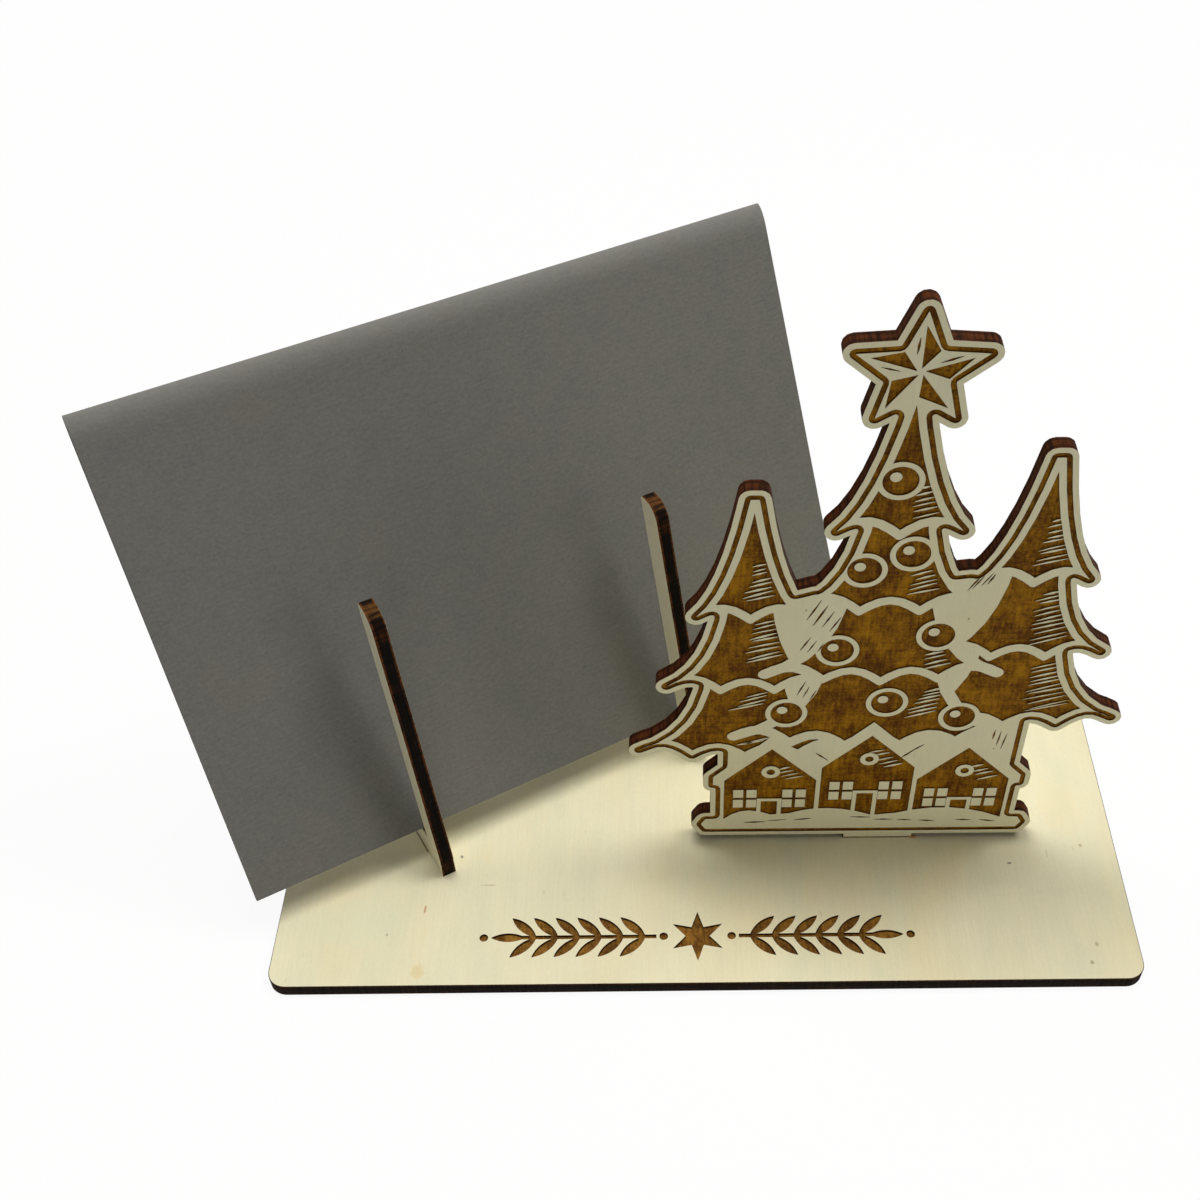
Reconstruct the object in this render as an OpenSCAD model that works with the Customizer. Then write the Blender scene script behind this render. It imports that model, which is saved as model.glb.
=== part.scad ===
// Gift card holder: a plywood stand that holds a folded card at a slant, behind an engraved winter panel.
// Millimetres: +X to the right, +Y to the back, +Z up. The origin is the middle of the base's underside.

/* [Plywood] */
// Thickness of the plywood sheet
ply_t = 3; // [2.5:0.5:5]
// Length of the tab that holds a piece in the base plate
tab_w = 15; // [12:1:18]
// Gap between a tab and each wall of its slot
slot_clearance = 0.1; // [0.05:0.05:0.3]

/* [Base plate] */
// Width of the base plate, left to right
base_w = 180; // [176:2:220]
// Depth of the base plate, front to back
base_d = 100; // [94:2:140]
// Radius of the base plate's corners
base_r = 4; // [1:0.5:10]

/* [Card] */
// Width of the folded card, along its fold
card_w = 148; // [120:1:160]
// Height of the folded card, from its loose edges to its fold
card_h = 105; // [90:1:120]
// Thickness of the card's paper
paper_t = 0.4; // [0.3:0.1:0.6]
// Thickness of the folded card across its soft fold
fold_t = 3.8; // [3:0.1:5]
// Height of the fold's curve
fold_h = 5; // [3:0.5:8]
// Gap between the two leaves at their loose edges
leaf_gap = 0.4; // [0.2:0.1:0.6]
// Angle that the card's front leaf leans back from upright
card_lean = 25; // [21:1:30]
// Angle that the card is turned from the base plate's front edge
card_turn = 30; // [26:1:34]
// How far the card's middle stands to the right of the middle between the uprights
card_shift = 4; // [-10:1:10]
// Gap between the card and the uprights that it rests in
rest_clearance = 0.3; // [0.2:0.05:0.5]

/* [Uprights] */
// From the base plate's left edge to the middle between the uprights
uprights_x = 57.5; // [54:0.5:62]
// From the base plate's front edge to the card's lower edge, midway between the uprights
uprights_y = 51; // [48:0.5:56]
// Distance between the uprights
upright_spacing = 63; // [50:1:70]
// Height of an upright above the base plate
upright_h = 64; // [45:1:75]
// Length of an upright's foot, front to back
foot_len = 31; // [28:1:36]
// Height of the foot's square part
foot_rise = 5.6; // [4:0.2:6]
// How far the foot stands out in front of the card's lower edge
foot_reach = 8.8; // [8:0.2:11]
// Angle that an upright's front and back edges lean back
prong_lean = 15.7; // [12:0.1:17]
// Width of the front prong
prong_w = 5.9; // [4:0.1:6.5]
// Height of the card slot's floor above the base plate
slot_floor = 6.4; // [6:0.2:12]

/* [Panel] */
// From the base plate's front edge to the panel's front face
panel_y = 36.6; // [30:0.2:38]
// From the base plate's right edge to the middle of the panel's main tree
panel_x = 56; // [54:1:60]
// How far the panel's tab stands to the right of the main tree's middle
panel_tab_shift = 4; // [-10:1:10]
// Gap under the panel's lower edge
panel_lift = 1.2; // [0.4:0.2:3]
// Bare margin between the panel's edge and its contour line
margin = 1.1; // [0.8:0.1:2]
// Width of the engraved contour line
line_w = 1; // [0.6:0.1:1.6]
// Depth of the panel's engraving
engrave_d = 0.3; // [0.2:0.05:0.6]
// Bare rim between engraved areas
rim = 1.3; // [0.8:0.1:2]

/* [Panel trees] */
// Width of the main tree
main_tree_w = 57; // [50:1:70]
// Height of the main tree's peak above the panel's lower edge
main_tree_top = 117; // [105:1:125]
// Width of a side tree
side_tree_w = 43.8; // [36:0.2:50]
// Distance of a side tree's middle from the main tree's middle
side_tree_x = 26; // [22:0.5:30]
// Height of the left tree's peak
left_tree_top = 94; // [80:1:100]
// Height of the right tree's peak
right_tree_top = 103; // [85:1:110]
// Diameter of a bauble on the main tree
bauble_d = 6.4; // [4:0.2:8]
// Radius of the star's points
star_r = 11.5; // [8:0.5:14]

/* [Panel village] */
// Width of a house in the village
house_w = 21; // [18:0.5:22]
// Height of the middle house's walls
house_wall = 21; // [16:1:26]
// Rise of a gable above its walls
gable_rise = 11; // [8:0.5:14]
// Thickness of the snow on a roof
roof_snow = 2.6; // [1.6:0.2:4]
// Width of a window
window_w = 5; // [3:0.2:6]
// Width of the snow bank in front of the village
bank_w = 70; // [66:1:76]
// Height of the snow bank's ends
bank_h = 3.6; // [3:0.2:6]

/* [Base ornament] */
// Length of the engraved ornament along the front
ornament_w = 91; // [70:1:110]
// From the base plate's front edge to the ornament's middle
ornament_y = 11.3; // [9:0.1:14]
// From the base plate's middle to the ornament's middle
ornament_x = -2; // [-20:1:20]
// Length of a leaf of the ornament
leaf_l = 7.2; // [5:0.2:8]
// Width of a leaf
leaf_w = 2.1; // [1.6:0.1:3]
// Number of leaf pairs on each sprig
leaf_pairs = 6; // [4:1:9]
// Radius of the ornament's middle star
flake_r = 6; // [4:0.5:7]
// Depth of the ornament's engraving
ornament_d = 0.5; // [0.3:0.1:1]

/* [Hidden] */
$fn = 48;
eps = 0.02;
soft_fn = 12;
bauble_fn = 28;
leaf_fn = 96;

ply_color = "#DDD3AE";
card_color = "#5E5C58";

// The ornament: its stem, its berries and the gaps between its motifs, and the waist of its star
stem_w = 0.9;
leaf_angle = 42;
berry_r = 0.9;
berry_gap = 1.1;
sprig_gap = 2.6;
sprig_end_gap = 0.6;
flake_waist = 0.42;

// The card's section, from its lower front edge: s runs up along the front leaf, t goes back across it
stack_t = 2 * paper_t + leaf_gap;
rear_turn = atan((fold_t - stack_t) / (card_h - fold_h));
card_edge_z = slot_floor + rest_clearance + stack_t * sin(card_lean);

// The uprights, in their own section: y goes back from the card's lower edge, z goes up from the base plate
tan_prong = tan(prong_lean);
tan_rest = tan(card_lean + rear_turn);
rest_y = stack_t * cos(card_lean) + rest_clearance / cos(card_lean + rear_turn);
rest_z = card_edge_z - stack_t * sin(card_lean);
upright_tab_y = -foot_reach + foot_len / 2;

// The places of the pieces on the base plate
uprights_at = [uprights_x - base_w / 2, uprights_y - base_d / 2];
panel_at = [base_w / 2 - panel_x, panel_y - base_d / 2];
panel_edge = margin + line_w;

// The trees: their layers, and shares of a tree's or a layer's own size
tree_tiers = 4;
side_tiers = 3;
hem_share = 0.86;
taper = 0.8;
tuck = 0.07;
neck_share = 0.5;
tip_half_w = 0.8;
hem_sag = 0.12;
scallop = 0.55;
sweep = [0.42, 0.22];
curve_steps = 6;
main_hem = 31;
left_hem = 27;
right_hem = 36;
main_trunk_w = 9;
side_trunk_w = 7;
trunk_tuck = 4;

// The backing's upper edge above a side tree's hem: at the outside, and nearer the main tree
right_back = [36, 39];
left_back = [40, 44];
back_notch = 0.55;

// The star on the main tree: its waist and its height above the peak, as shares of its radius
star_waist = 0.44;
star_rise = 0.32;
ray_gap = 0.2;

// Where the baubles hang, from the foot of the main tree, and each one's ring and highlight
bauble_places = [[-18, 38], [2, 41], [17, 36.5], [-9, 56], [10, 60], [-5.5, 77], [3, 81], [-1, 98]];
bauble_ring = rim * 0.8;
highlight_at = bauble_d * 0.14;
highlight_r = bauble_d * 0.17;

// The houses: their places, and the sizes of their windows, doors, bars and roofs
house_gap = house_w - 0.6;
low_wall = house_wall - 4;
house_inset = rim * 0.6;
window_h = window_w * 1.2;
window_rise = 0.62;
window_bar = 0.7;
door_w = window_w * 0.7;
door_rim = rim * 0.7;
attic_rise = 0.22;
attic_r = window_w * 0.4;
attic_bud_r = window_w * 0.18;
roof_over = 1.6;
ridge_snow = roof_snow * 1.2;

// The snow bank: its blunt ends and how high its three drifts rise above them
bank_nose = 1;
drift_h = [6, 5.6, 5];
drift_foot = [1.6, 1, 1.8, 1.4];

silhouette_gap_r = 1.5;

// Points on a curve with one control point
function bend(p0, p1, p2, n) = [for (i = [0 : n]) let (t = i / n)
    (1 - t) * (1 - t) * p0 + 2 * t * (1 - t) * p1 + t * t * p2];

// The points of a corner at b, between a and c, rounded to radius r
function corner(a, b, c, r) =
    let (
        u = (a - b) / norm(a - b),
        v = (c - b) / norm(c - b),
        half = acos(u * v) / 2,
        middle = b + (u + v) / norm(u + v) * r / sin(half),
        start = b + u * r / tan(half) - middle,
        from = atan2(start[1], start[0]),
        turn = (cross(u, v) < 0 ? 1 : -1) * (180 - 2 * half),
        steps = max(1, ceil(abs(turn) / 12))
    )
    r <= 0 ? [b] : [for (i = [0 : steps]) let (w = from + turn * i / steps) middle + r * [cos(w), sin(w)]];

// A closed outline whose corners are rounded, given as [x, y, radius]
function rounded(points) =
    let (n = len(points), at = [for (p = points) [p[0], p[1]]])
    [for (i = [0 : n - 1]) each corner(at[(i + n - 1) % n], at[i], at[(i + 1) % n], points[i][2])];

// Where the prong's edges, the slot's front wall and the slot's rear wall stand at a height
function front_edge(z) = -foot_reach + (z - foot_rise) * tan_prong;
function slot_front(z) = front_edge(z) + prong_w / cos(prong_lean);
function slot_rear(z) = rest_y + (z - rest_z) * tan_rest;
function back_edge(z) = front_edge(z) + foot_len;

// Turns a flat outline drawn as (back, up) into a sheet that stands across x
module standing_across(t) {
    rotate([90, 0, 90]) translate([0, 0, -t / 2]) linear_extrude(t) children();
}

// Places children in the card's own frame: x along its lower edge, y to its back
module on_uprights() {
    translate([uprights_at[0], uprights_at[1], ply_t]) rotate([0, 0, card_turn]) children();
}

module tab_slot() {
    square([ply_t + 2 * slot_clearance, tab_w + 2 * slot_clearance], center = true);
}

// A leaf with two pointed ends, along x
module leaf(l, w) {
    r = (l * l / w + w) / 4;
    intersection() {
        translate([0, r - w / 2]) circle(r, $fn = leaf_fn);
        translate([0, w / 2 - r]) circle(r, $fn = leaf_fn);
    }
}

// A star with n points
module star(n, r, inner) {
    polygon([for (i = [0 : 2 * n - 1])
        let (a = 90 + 180 * i / n) (i % 2 == 0 ? r : inner) * [cos(a), sin(a)]]);
}

// A twig of paired leaves that grows to the right
module sprig(l) {
    pitch = (l - leaf_l) / leaf_pairs;
    translate([0, -stem_w / 2]) square([l - leaf_l / 2, stem_w]);
    for (i = [0 : leaf_pairs - 1]) {
        translate([(i + 0.5) * pitch, 0]) for (side = [-1, 1]) {
            rotate(side * leaf_angle) translate([leaf_l / 2, 0]) leaf(leaf_l, leaf_w);
        }
    }
    translate([l - leaf_l / 2, 0]) leaf(leaf_l, leaf_w);
}

// The ornament along the front: a star between two sprigs, with a berry at each end of a sprig
module ornament() {
    sprig_from = flake_r + sprig_gap;
    sprig_l = ornament_w / 2 - sprig_from - 2 * berry_r - sprig_end_gap;
    star(6, flake_r, flake_r * flake_waist);
    for (side = [0, 1]) {
        mirror([side, 0]) {
            translate([sprig_from, 0]) sprig(sprig_l);
            translate([ornament_w / 2 - berry_r, 0]) circle(berry_r);
            translate([flake_r + berry_gap, 0]) circle(berry_r);
        }
    }
}

module base_plate() {
    color(ply_color)
    difference() {
        linear_extrude(ply_t) polygon(rounded([
            [-base_w / 2, -base_d / 2, base_r],
            [base_w / 2, -base_d / 2, base_r],
            [base_w / 2, base_d / 2, base_r],
            [-base_w / 2, base_d / 2, base_r]
        ]));
        translate([0, 0, -ply_t]) on_uprights() for (side = [-1, 1]) {
            translate([side * upright_spacing / 2, upright_tab_y, -eps])
                linear_extrude(ply_t + 2 * eps) tab_slot();
        }
        translate([panel_at[0] + panel_tab_shift, panel_at[1] + ply_t / 2, -eps])
            linear_extrude(ply_t + 2 * eps) rotate(90) tab_slot();
        translate([ornament_x, ornament_y - base_d / 2, ply_t - ornament_d])
            linear_extrude(ornament_d + eps) ornament();
    }
}

// An upright seen from its side: a foot with a tab, a front prong, the card's slot and a rear rest
module upright_outline() {
    square_r = 8;
    top_r = 4;
    edge_r = 0.8;
    floor_r = 0.6;
    polygon(rounded([
        [-foot_reach, 0, 0],
        [-foot_reach, foot_rise, square_r],
        [front_edge(upright_h), upright_h, top_r],
        [slot_front(upright_h), upright_h, edge_r],
        [slot_front(slot_floor), slot_floor, floor_r],
        [slot_rear(slot_floor), slot_floor, floor_r],
        [slot_rear(upright_h), upright_h, edge_r],
        [back_edge(upright_h), upright_h, top_r],
        [foot_len - foot_reach, foot_rise, square_r],
        [foot_len - foot_reach, 0, 0],
        [upright_tab_y + tab_w / 2, 0, 0],
        [upright_tab_y + tab_w / 2, -ply_t, 0],
        [upright_tab_y - tab_w / 2, -ply_t, 0],
        [upright_tab_y - tab_w / 2, 0, 0]
    ]));
}

module upright(side) {
    color(ply_color)
    on_uprights() translate([side * upright_spacing / 2, 0, 0]) standing_across(ply_t) upright_outline();
}

module left_upright() {
    upright(-1);
}

module right_upright() {
    upright(1);
}

// One layer of boughs: its hem hangs in points and its sides sweep in to the layer above
module tier(half_w, neck, h, points) {
    sag = half_w * hem_sag;
    rise = half_w / points * scallop;
    n = curve_steps;
    hem = [for (i = [0 : points * n - 1]) let (f = i / n / points, x = (2 * f - 1) * half_w)
        [x, -sag * (1 - pow(x / half_w, 2)) + rise * sin(180 * (i % n) / n)]];
    right = bend([half_w, 0], [half_w * sweep[0], h * sweep[1]], [neck, h], n);
    left = bend([-half_w, 0], [-half_w * sweep[0], h * sweep[1]], [-neck, h], n);
    polygon(concat(hem, right, [for (i = [n : -1 : 1]) left[i]]));
}

// Layer k of a tree w wide whose hem is at height hem and whose peak is at height top
module tree_tier(k, tiers, w, hem, top) {
    f = k / tiers;
    next = (k + 1) / tiers;
    half_w = w / 2 * (1 - taper * f);
    z = hem + (top - hem) * hem_share * f;
    z_next = hem + (top - hem) * hem_share * next;
    last = k == tiers - 1;
    h = (last ? top : z_next + (top - hem) * tuck) - z;
    neck = last ? tip_half_w : w / 2 * (1 - taper * next) * neck_share;
    translate([0, z]) tier(half_w, neck, h, tiers + 1 - k);
}

module tree(tiers, w, hem, top, from = 0) {
    for (k = [from : tiers - 1]) tree_tier(k, tiers, w, hem, top);
}

module trunk(w, hem) {
    translate([-w / 2, 0]) square([w, hem + trunk_tuck]);
}

// The engraved boughs of a tree: each layer inside a bare rim, cut back by the layers above it
module boughs(tiers, w, hem, top) {
    for (k = [0 : tiers - 1]) {
        difference() {
            offset(r = -rim) tree_tier(k, tiers, w, hem, top);
            if (k < tiers - 1) offset(r = rim / 2) tree(tiers, w, hem, top, k + 1);
        }
    }
}

module main_tree() {
    tree(tree_tiers, main_tree_w, main_hem, main_tree_top);
}

module left_tree() {
    translate([-side_tree_x, 0]) tree(side_tiers, side_tree_w, left_hem, left_tree_top);
}

module right_tree() {
    translate([side_tree_x, 0]) tree(side_tiers, side_tree_w, right_hem, right_tree_top);
}

module on_tree_top() {
    translate([0, main_tree_top + star_r * star_rise]) children();
}

module tree_star() {
    on_tree_top() star(5, star_r, star_r * star_waist);
}

// The star's five engraved facets, one half of each point
module star_facets() {
    on_tree_top() for (i = [0 : 4]) rotate(72 * i) {
        polygon([
            [0, rim / 2],
            [0, star_r - 2 * rim],
            star_r * star_waist * [sin(36), cos(36)] - [ray_gap, 0]
        ]);
    }
}

// Places a bauble at the tips of the main tree's boughs and in a slanting row on each layer
module each_bauble() {
    for (p = bauble_places) translate(p) children();
}

// The bare rings around the baubles
module bauble_rings() {
    each_bauble() circle(bauble_d / 2 + bauble_ring, $fn = bauble_fn);
}

// A house seen from its gable end
module house(wall) {
    half = house_w / 2;
    polygon([[-half, 0], [half, 0], [half, wall], [0, wall + gable_rise], [-half, wall]]);
}

module roof(wall) {
    half = house_w / 2;
    slope = gable_rise / half;
    eave = [half + roof_over, wall - roof_over * slope];
    polygon([
        [0, wall + gable_rise],
        eave,
        eave + [0, roof_snow],
        [0, wall + gable_rise + ridge_snow],
        [-eave[0], eave[1] + roof_snow],
        [-eave[0], eave[1]]
    ]);
}

module window_bars() {
    square([window_bar, window_h], center = true);
    square([window_w, window_bar], center = true);
}

// Places children at the two windows of a house with a wall of that height
module at_windows(wall) {
    for (side = [-1, 1]) translate([side * house_w / 4, wall * window_rise]) children();
}

// The burnt wall of a house around its bare windows and door frame
module house_walls(wall) {
    door_h = wall * window_rise;
    difference() {
        offset(delta = -house_inset) house(wall);
        at_windows(wall) square([window_w, window_h], center = true);
        translate([0, wall + gable_rise * attic_rise]) circle(attic_r);
        translate([-door_w / 2 - door_rim, 0]) square([door_w + 2 * door_rim, door_h]);
        roof(wall);
    }
    at_windows(wall) window_bars();
    translate([0, wall + gable_rise * attic_rise]) circle(attic_bud_r);
    translate([-door_w / 2, rim]) square([door_w, door_h - rim - door_rim]);
}

module side_houses() {
    for (side = [-1, 1]) translate([side * house_gap, 0]) children();
}

// The snow bank in front: low rounded ends and drifts against the houses
module bank() {
    half = bank_w / 2;
    nose = half - bank_nose;
    h = bank_h;
    polygon(concat(
        [[-nose, 0], [nose, 0], [half, h / 2], [nose, h]],
        bend([half - 5, h], [half - 16, h + drift_h[0]], [half - 28, h + drift_foot[0]], 6),
        bend([2, h + drift_foot[1]], [-8, h + drift_h[1]], [-16, h + drift_foot[2]], 6),
        bend([-20, h + drift_foot[3]], [-half + 9, h + drift_h[2]], [-half + 5, h], 5),
        [[-nose, h], [-half, h / 2]]
    ));
}

// The bare sheet that closes the gaps between the trees
module backing() {
    polygon([
        [-side_tree_x, 0],
        [side_tree_x, 0],
        [side_tree_x, right_hem + right_back[0]],
        [side_tree_x * back_notch, right_hem + right_back[1]],
        [-side_tree_x * back_notch, left_hem + left_back[1]],
        [-side_tree_x, left_hem + left_back[0]]
    ]);
}

// Everything on the panel, as one silhouette that stands on the contour line
module scene() {
    main_tree();
    left_tree();
    right_tree();
    tree_star();
    trunk(main_trunk_w, main_hem);
    translate([-side_tree_x, 0]) trunk(side_trunk_w, left_hem);
    translate([side_tree_x, 0]) trunk(side_trunk_w, right_hem);
    backing();
    house(house_wall);
    roof(house_wall);
    side_houses() house(low_wall);
    side_houses() roof(low_wall);
    bank();
}

// The scene's outline grown by a distance, with its narrow gaps filled
module silhouette(grown) {
    $fn = soft_fn;
    offset(r = grown - silhouette_gap_r) offset(r = silhouette_gap_r) scene();
}

module panel_outline() {
    silhouette(panel_edge);
}

module contour_line() {
    difference() {
        silhouette(line_w);
        silhouette(0);
    }
}

// The areas of the panel that the laser has burnt away
module engraving() {
    $fn = soft_fn;
    contour_line();
    difference() {
        union() {
            translate([-side_tree_x, 0]) boughs(side_tiers, side_tree_w, left_hem, left_tree_top);
            translate([side_tree_x, 0]) boughs(side_tiers, side_tree_w, right_hem, right_tree_top);
        }
        offset(r = rim) main_tree();
        bauble_rings();
        house(house_wall);
        roof(house_wall);
        side_houses() house(low_wall);
        side_houses() roof(low_wall);
    }
    difference() {
        boughs(tree_tiers, main_tree_w, main_hem, main_tree_top);
        bauble_rings();
        tree_star();
        house(house_wall);
        roof(house_wall);
        side_houses() roof(low_wall);
    }
    each_bauble() difference() {
        circle(bauble_d / 2, $fn = bauble_fn);
        translate([-highlight_at, highlight_at]) circle(highlight_r);
    }
    difference() {
        side_houses() house_walls(low_wall);
        house(house_wall);
        roof(house_wall);
        bank();
    }
    difference() {
        house_walls(house_wall);
        bank();
    }
    star_facets();
}

module front_panel() {
    color(ply_color)
    translate([panel_at[0], panel_at[1], ply_t + panel_lift])
    difference() {
        union() {
            translate([0, ply_t, panel_edge]) rotate([90, 0, 0]) linear_extrude(ply_t) panel_outline();
            translate([panel_tab_shift - tab_w / 2, 0, -ply_t - panel_lift])
                cube([tab_w, ply_t, ply_t + panel_lift + panel_edge]);
        }
        translate([0, engrave_d, panel_edge]) rotate([90, 0, 0]) linear_extrude(engrave_d + eps) engraving();
    }
}

// The folded card's section: two leaves that open upwards to a soft fold
function section(inset) =
    let (
        top = card_h - fold_h,
        rear_foot = stack_t - inset,
        rear_top = fold_t - inset,
        mid = fold_t / 2,
        curve = [for (i = [0 : 12]) let (a = 180 - 15 * i)
            [mid + (mid - inset) * cos(a), top + (fold_h - inset) * sin(a)]]
    )
    concat([[inset, inset > 0 ? -1 : 0]], curve, [[rear_foot, inset > 0 ? -1 : 0]]);

module folded_card() {
    color(card_color)
    on_uprights()
    translate([card_shift, 0, card_edge_z])
    standing_across(card_w)
    rotate(-card_lean)
    difference() {
        polygon(section(0));
        polygon(section(paper_t));
    }
}

base_plate();
left_upright();
right_upright();
front_panel();
folded_card();
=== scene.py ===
"""The looks of the gift card holder: a birch plywood stand, an engraved panel and a folded grey card."""

from __future__ import annotations

import logging
import math
import random
import sys
from collections import Counter
from dataclasses import dataclass
from enum import Enum
from typing import Callable, Mapping, Sequence, Union

import bpy
from mathutils import Matrix, Vector


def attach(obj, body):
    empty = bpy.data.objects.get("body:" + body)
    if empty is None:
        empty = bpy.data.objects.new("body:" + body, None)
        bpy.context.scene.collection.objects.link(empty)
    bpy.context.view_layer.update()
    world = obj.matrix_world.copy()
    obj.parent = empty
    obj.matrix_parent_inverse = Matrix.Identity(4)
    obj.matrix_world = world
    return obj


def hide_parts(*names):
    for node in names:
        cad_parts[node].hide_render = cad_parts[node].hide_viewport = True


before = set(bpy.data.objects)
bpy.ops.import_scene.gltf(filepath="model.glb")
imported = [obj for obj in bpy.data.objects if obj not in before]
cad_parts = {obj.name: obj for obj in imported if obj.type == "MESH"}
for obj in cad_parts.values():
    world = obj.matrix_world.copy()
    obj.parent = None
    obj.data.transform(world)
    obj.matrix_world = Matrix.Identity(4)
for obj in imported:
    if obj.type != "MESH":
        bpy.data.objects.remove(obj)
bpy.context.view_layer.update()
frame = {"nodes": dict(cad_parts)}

LOG = logging.getLogger("card_holder")

Pair = tuple[float, float]
Triple = tuple[float, float, float]
Settings = Mapping[str, object]
Inputs = Mapping[Union[str, int], object]

MM = 0.001  # a millimetre in metres; sizes are in millimetres, and shader lengths in metres
TINY = 1e-3  # the slack between two levels that count as one
NEAR = 0.02  # the slack around a corner of an outline
FACING = 0.9  # how much of a face's normal lies along an axis that it looks along
FLAT = 0.999  # the same for a face that is exactly level
CREASE = 28.0  # the angle in degrees from which an edge is shaded sharp
COPLANAR = 0.5  # the angle in degrees up to which two faces count as one
FACET = 9.0  # the widest angle in degrees between the facets of a rounded corner

PLY = 3.0  # the plywood's thickness
FORK_TURN = 30.0  # how far the forks and the card are turned on the board, in degrees
FORK_MIDDLE = (-32.5, 1.0)  # the point of the board halfway between the forks
FORK_SPREAD = 31.5  # how far each fork is from that point
TAB_BACK = 6.7  # how far the middle of a fork's tab lies behind the fork's own point


class Body(Enum):
    """The bodies that pieces ride on."""

    STAND = "stand"
    CARD = "card"


class Slot(Enum):
    """The names of the material slots."""

    BASE = "base_ply"
    UPRIGHT = "upright_ply"
    PANEL = "panel_ply"
    CARD = "card_paper"


class Side(Enum):
    """The level sides of a fork's foot, with the y of their normals."""

    TOP = 1.0
    UNDERSIDE = -1.0


class Pick(Enum):
    """What an edit works on, with the select mode that it needs."""

    VERTS = (True, False, False)
    EDGES = (False, True, False)
    FACES = (False, False, True)


def turned(degrees: float) -> Matrix:
    """A turn about the z axis."""
    return Matrix.Rotation(math.radians(degrees), 4, "Z")


def slope(degrees: float) -> float:
    """How far a line at that lean goes sideways for each unit that it rises."""
    return math.tan(math.radians(degrees))


def fork_feet(back: float = 0.0) -> list[Pair]:
    """Where the two forks stand on the board.

    Args:
        back: how far behind a fork's own point, along its foot.

    Returns:
        The left fork's place and the right one's.
    """
    turn = math.radians(FORK_TURN)
    across, behind = Vector((math.cos(turn), math.sin(turn))), Vector((-math.sin(turn), math.cos(turn)))
    sides = (-FORK_SPREAD, FORK_SPREAD)
    return [tuple(Vector(FORK_MIDDLE) + across * side + behind * back) for side in sides]


# --- shader maths


class Flow:
    """A socket's value on its way through a node tree, with maths written as operators."""

    def __init__(self, wiring: Wiring, socket: bpy.types.NodeSocket) -> None:
        """Wraps an output socket of the wiring's node tree."""
        self.wiring = wiring
        self.socket = socket

    def _maths(self, operation: str, first: Value, second: Value) -> Flow:
        """The result of a new Math node."""
        return self.wiring.flow("ShaderNodeMath", {"operation": operation}, {0: first, 1: second})

    def __add__(self, other: Value) -> Flow:
        """self + other."""
        return self._maths("ADD", self, other)

    def __radd__(self, other: Value) -> Flow:
        """other + self."""
        return self._maths("ADD", other, self)

    def __sub__(self, other: Value) -> Flow:
        """self - other."""
        return self._maths("SUBTRACT", self, other)

    def __rsub__(self, other: Value) -> Flow:
        """other - self."""
        return self._maths("SUBTRACT", other, self)

    def __mul__(self, other: Value) -> Flow:
        """self * other."""
        return self._maths("MULTIPLY", self, other)

    def __rmul__(self, other: Value) -> Flow:
        """other * self."""
        return self._maths("MULTIPLY", other, self)

    def __truediv__(self, other: Value) -> Flow:
        """self / other."""
        return self._maths("DIVIDE", self, other)

    def __rtruediv__(self, other: Value) -> Flow:
        """other / self."""
        return self._maths("DIVIDE", other, self)

    def swing(self, width: float) -> Flow:
        """A noise from 0 to 1 made a swing of that width around 0."""
        return width * (self - 0.5)


Value = Union[Flow, float]


class Wiring:
    """A node tree in the making."""

    def __init__(self, owner: Union[bpy.types.Material, bpy.types.World]) -> None:
        """Empties a node tree.

        Args:
            owner: the material or the world whose tree it is.
        """
        owner.use_nodes = True
        self.tree = owner.node_tree
        self.tree.nodes.clear()

    def node(self, kind: str, settings: Settings, values: Inputs) -> bpy.types.Node:
        """Adds any node.

        Args:
            kind: the node's type.
            settings: its own settings, set first; "stops" holds a ramp's (position, colour) pairs.
            values: the values or links of its input sockets, by name or index.

        Returns:
            The new node.
        """
        made = self.tree.nodes.new(kind)
        for name, setting in settings.items():
            if name == "stops":
                elements = made.color_ramp.elements
                while len(elements) < len(setting):
                    elements.new(0.5)
                for element, (place, colour) in zip(elements, setting):
                    element.position = place
                    element.color = (*colour, 1.0)
            else:
                setattr(made, name, setting)
        for name, value in values.items():
            if isinstance(value, Flow):
                self.tree.links.new(value.socket, made.inputs[name])
            else:
                made.inputs[name].default_value = value
        return made

    def flow(self, kind: str, settings: Settings, values: Inputs, out: Union[str, int] = 0) -> Flow:
        """Adds a node in the same way, and gives one of its outputs."""
        return Flow(self, self.node(kind, settings, values).outputs[out])


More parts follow.
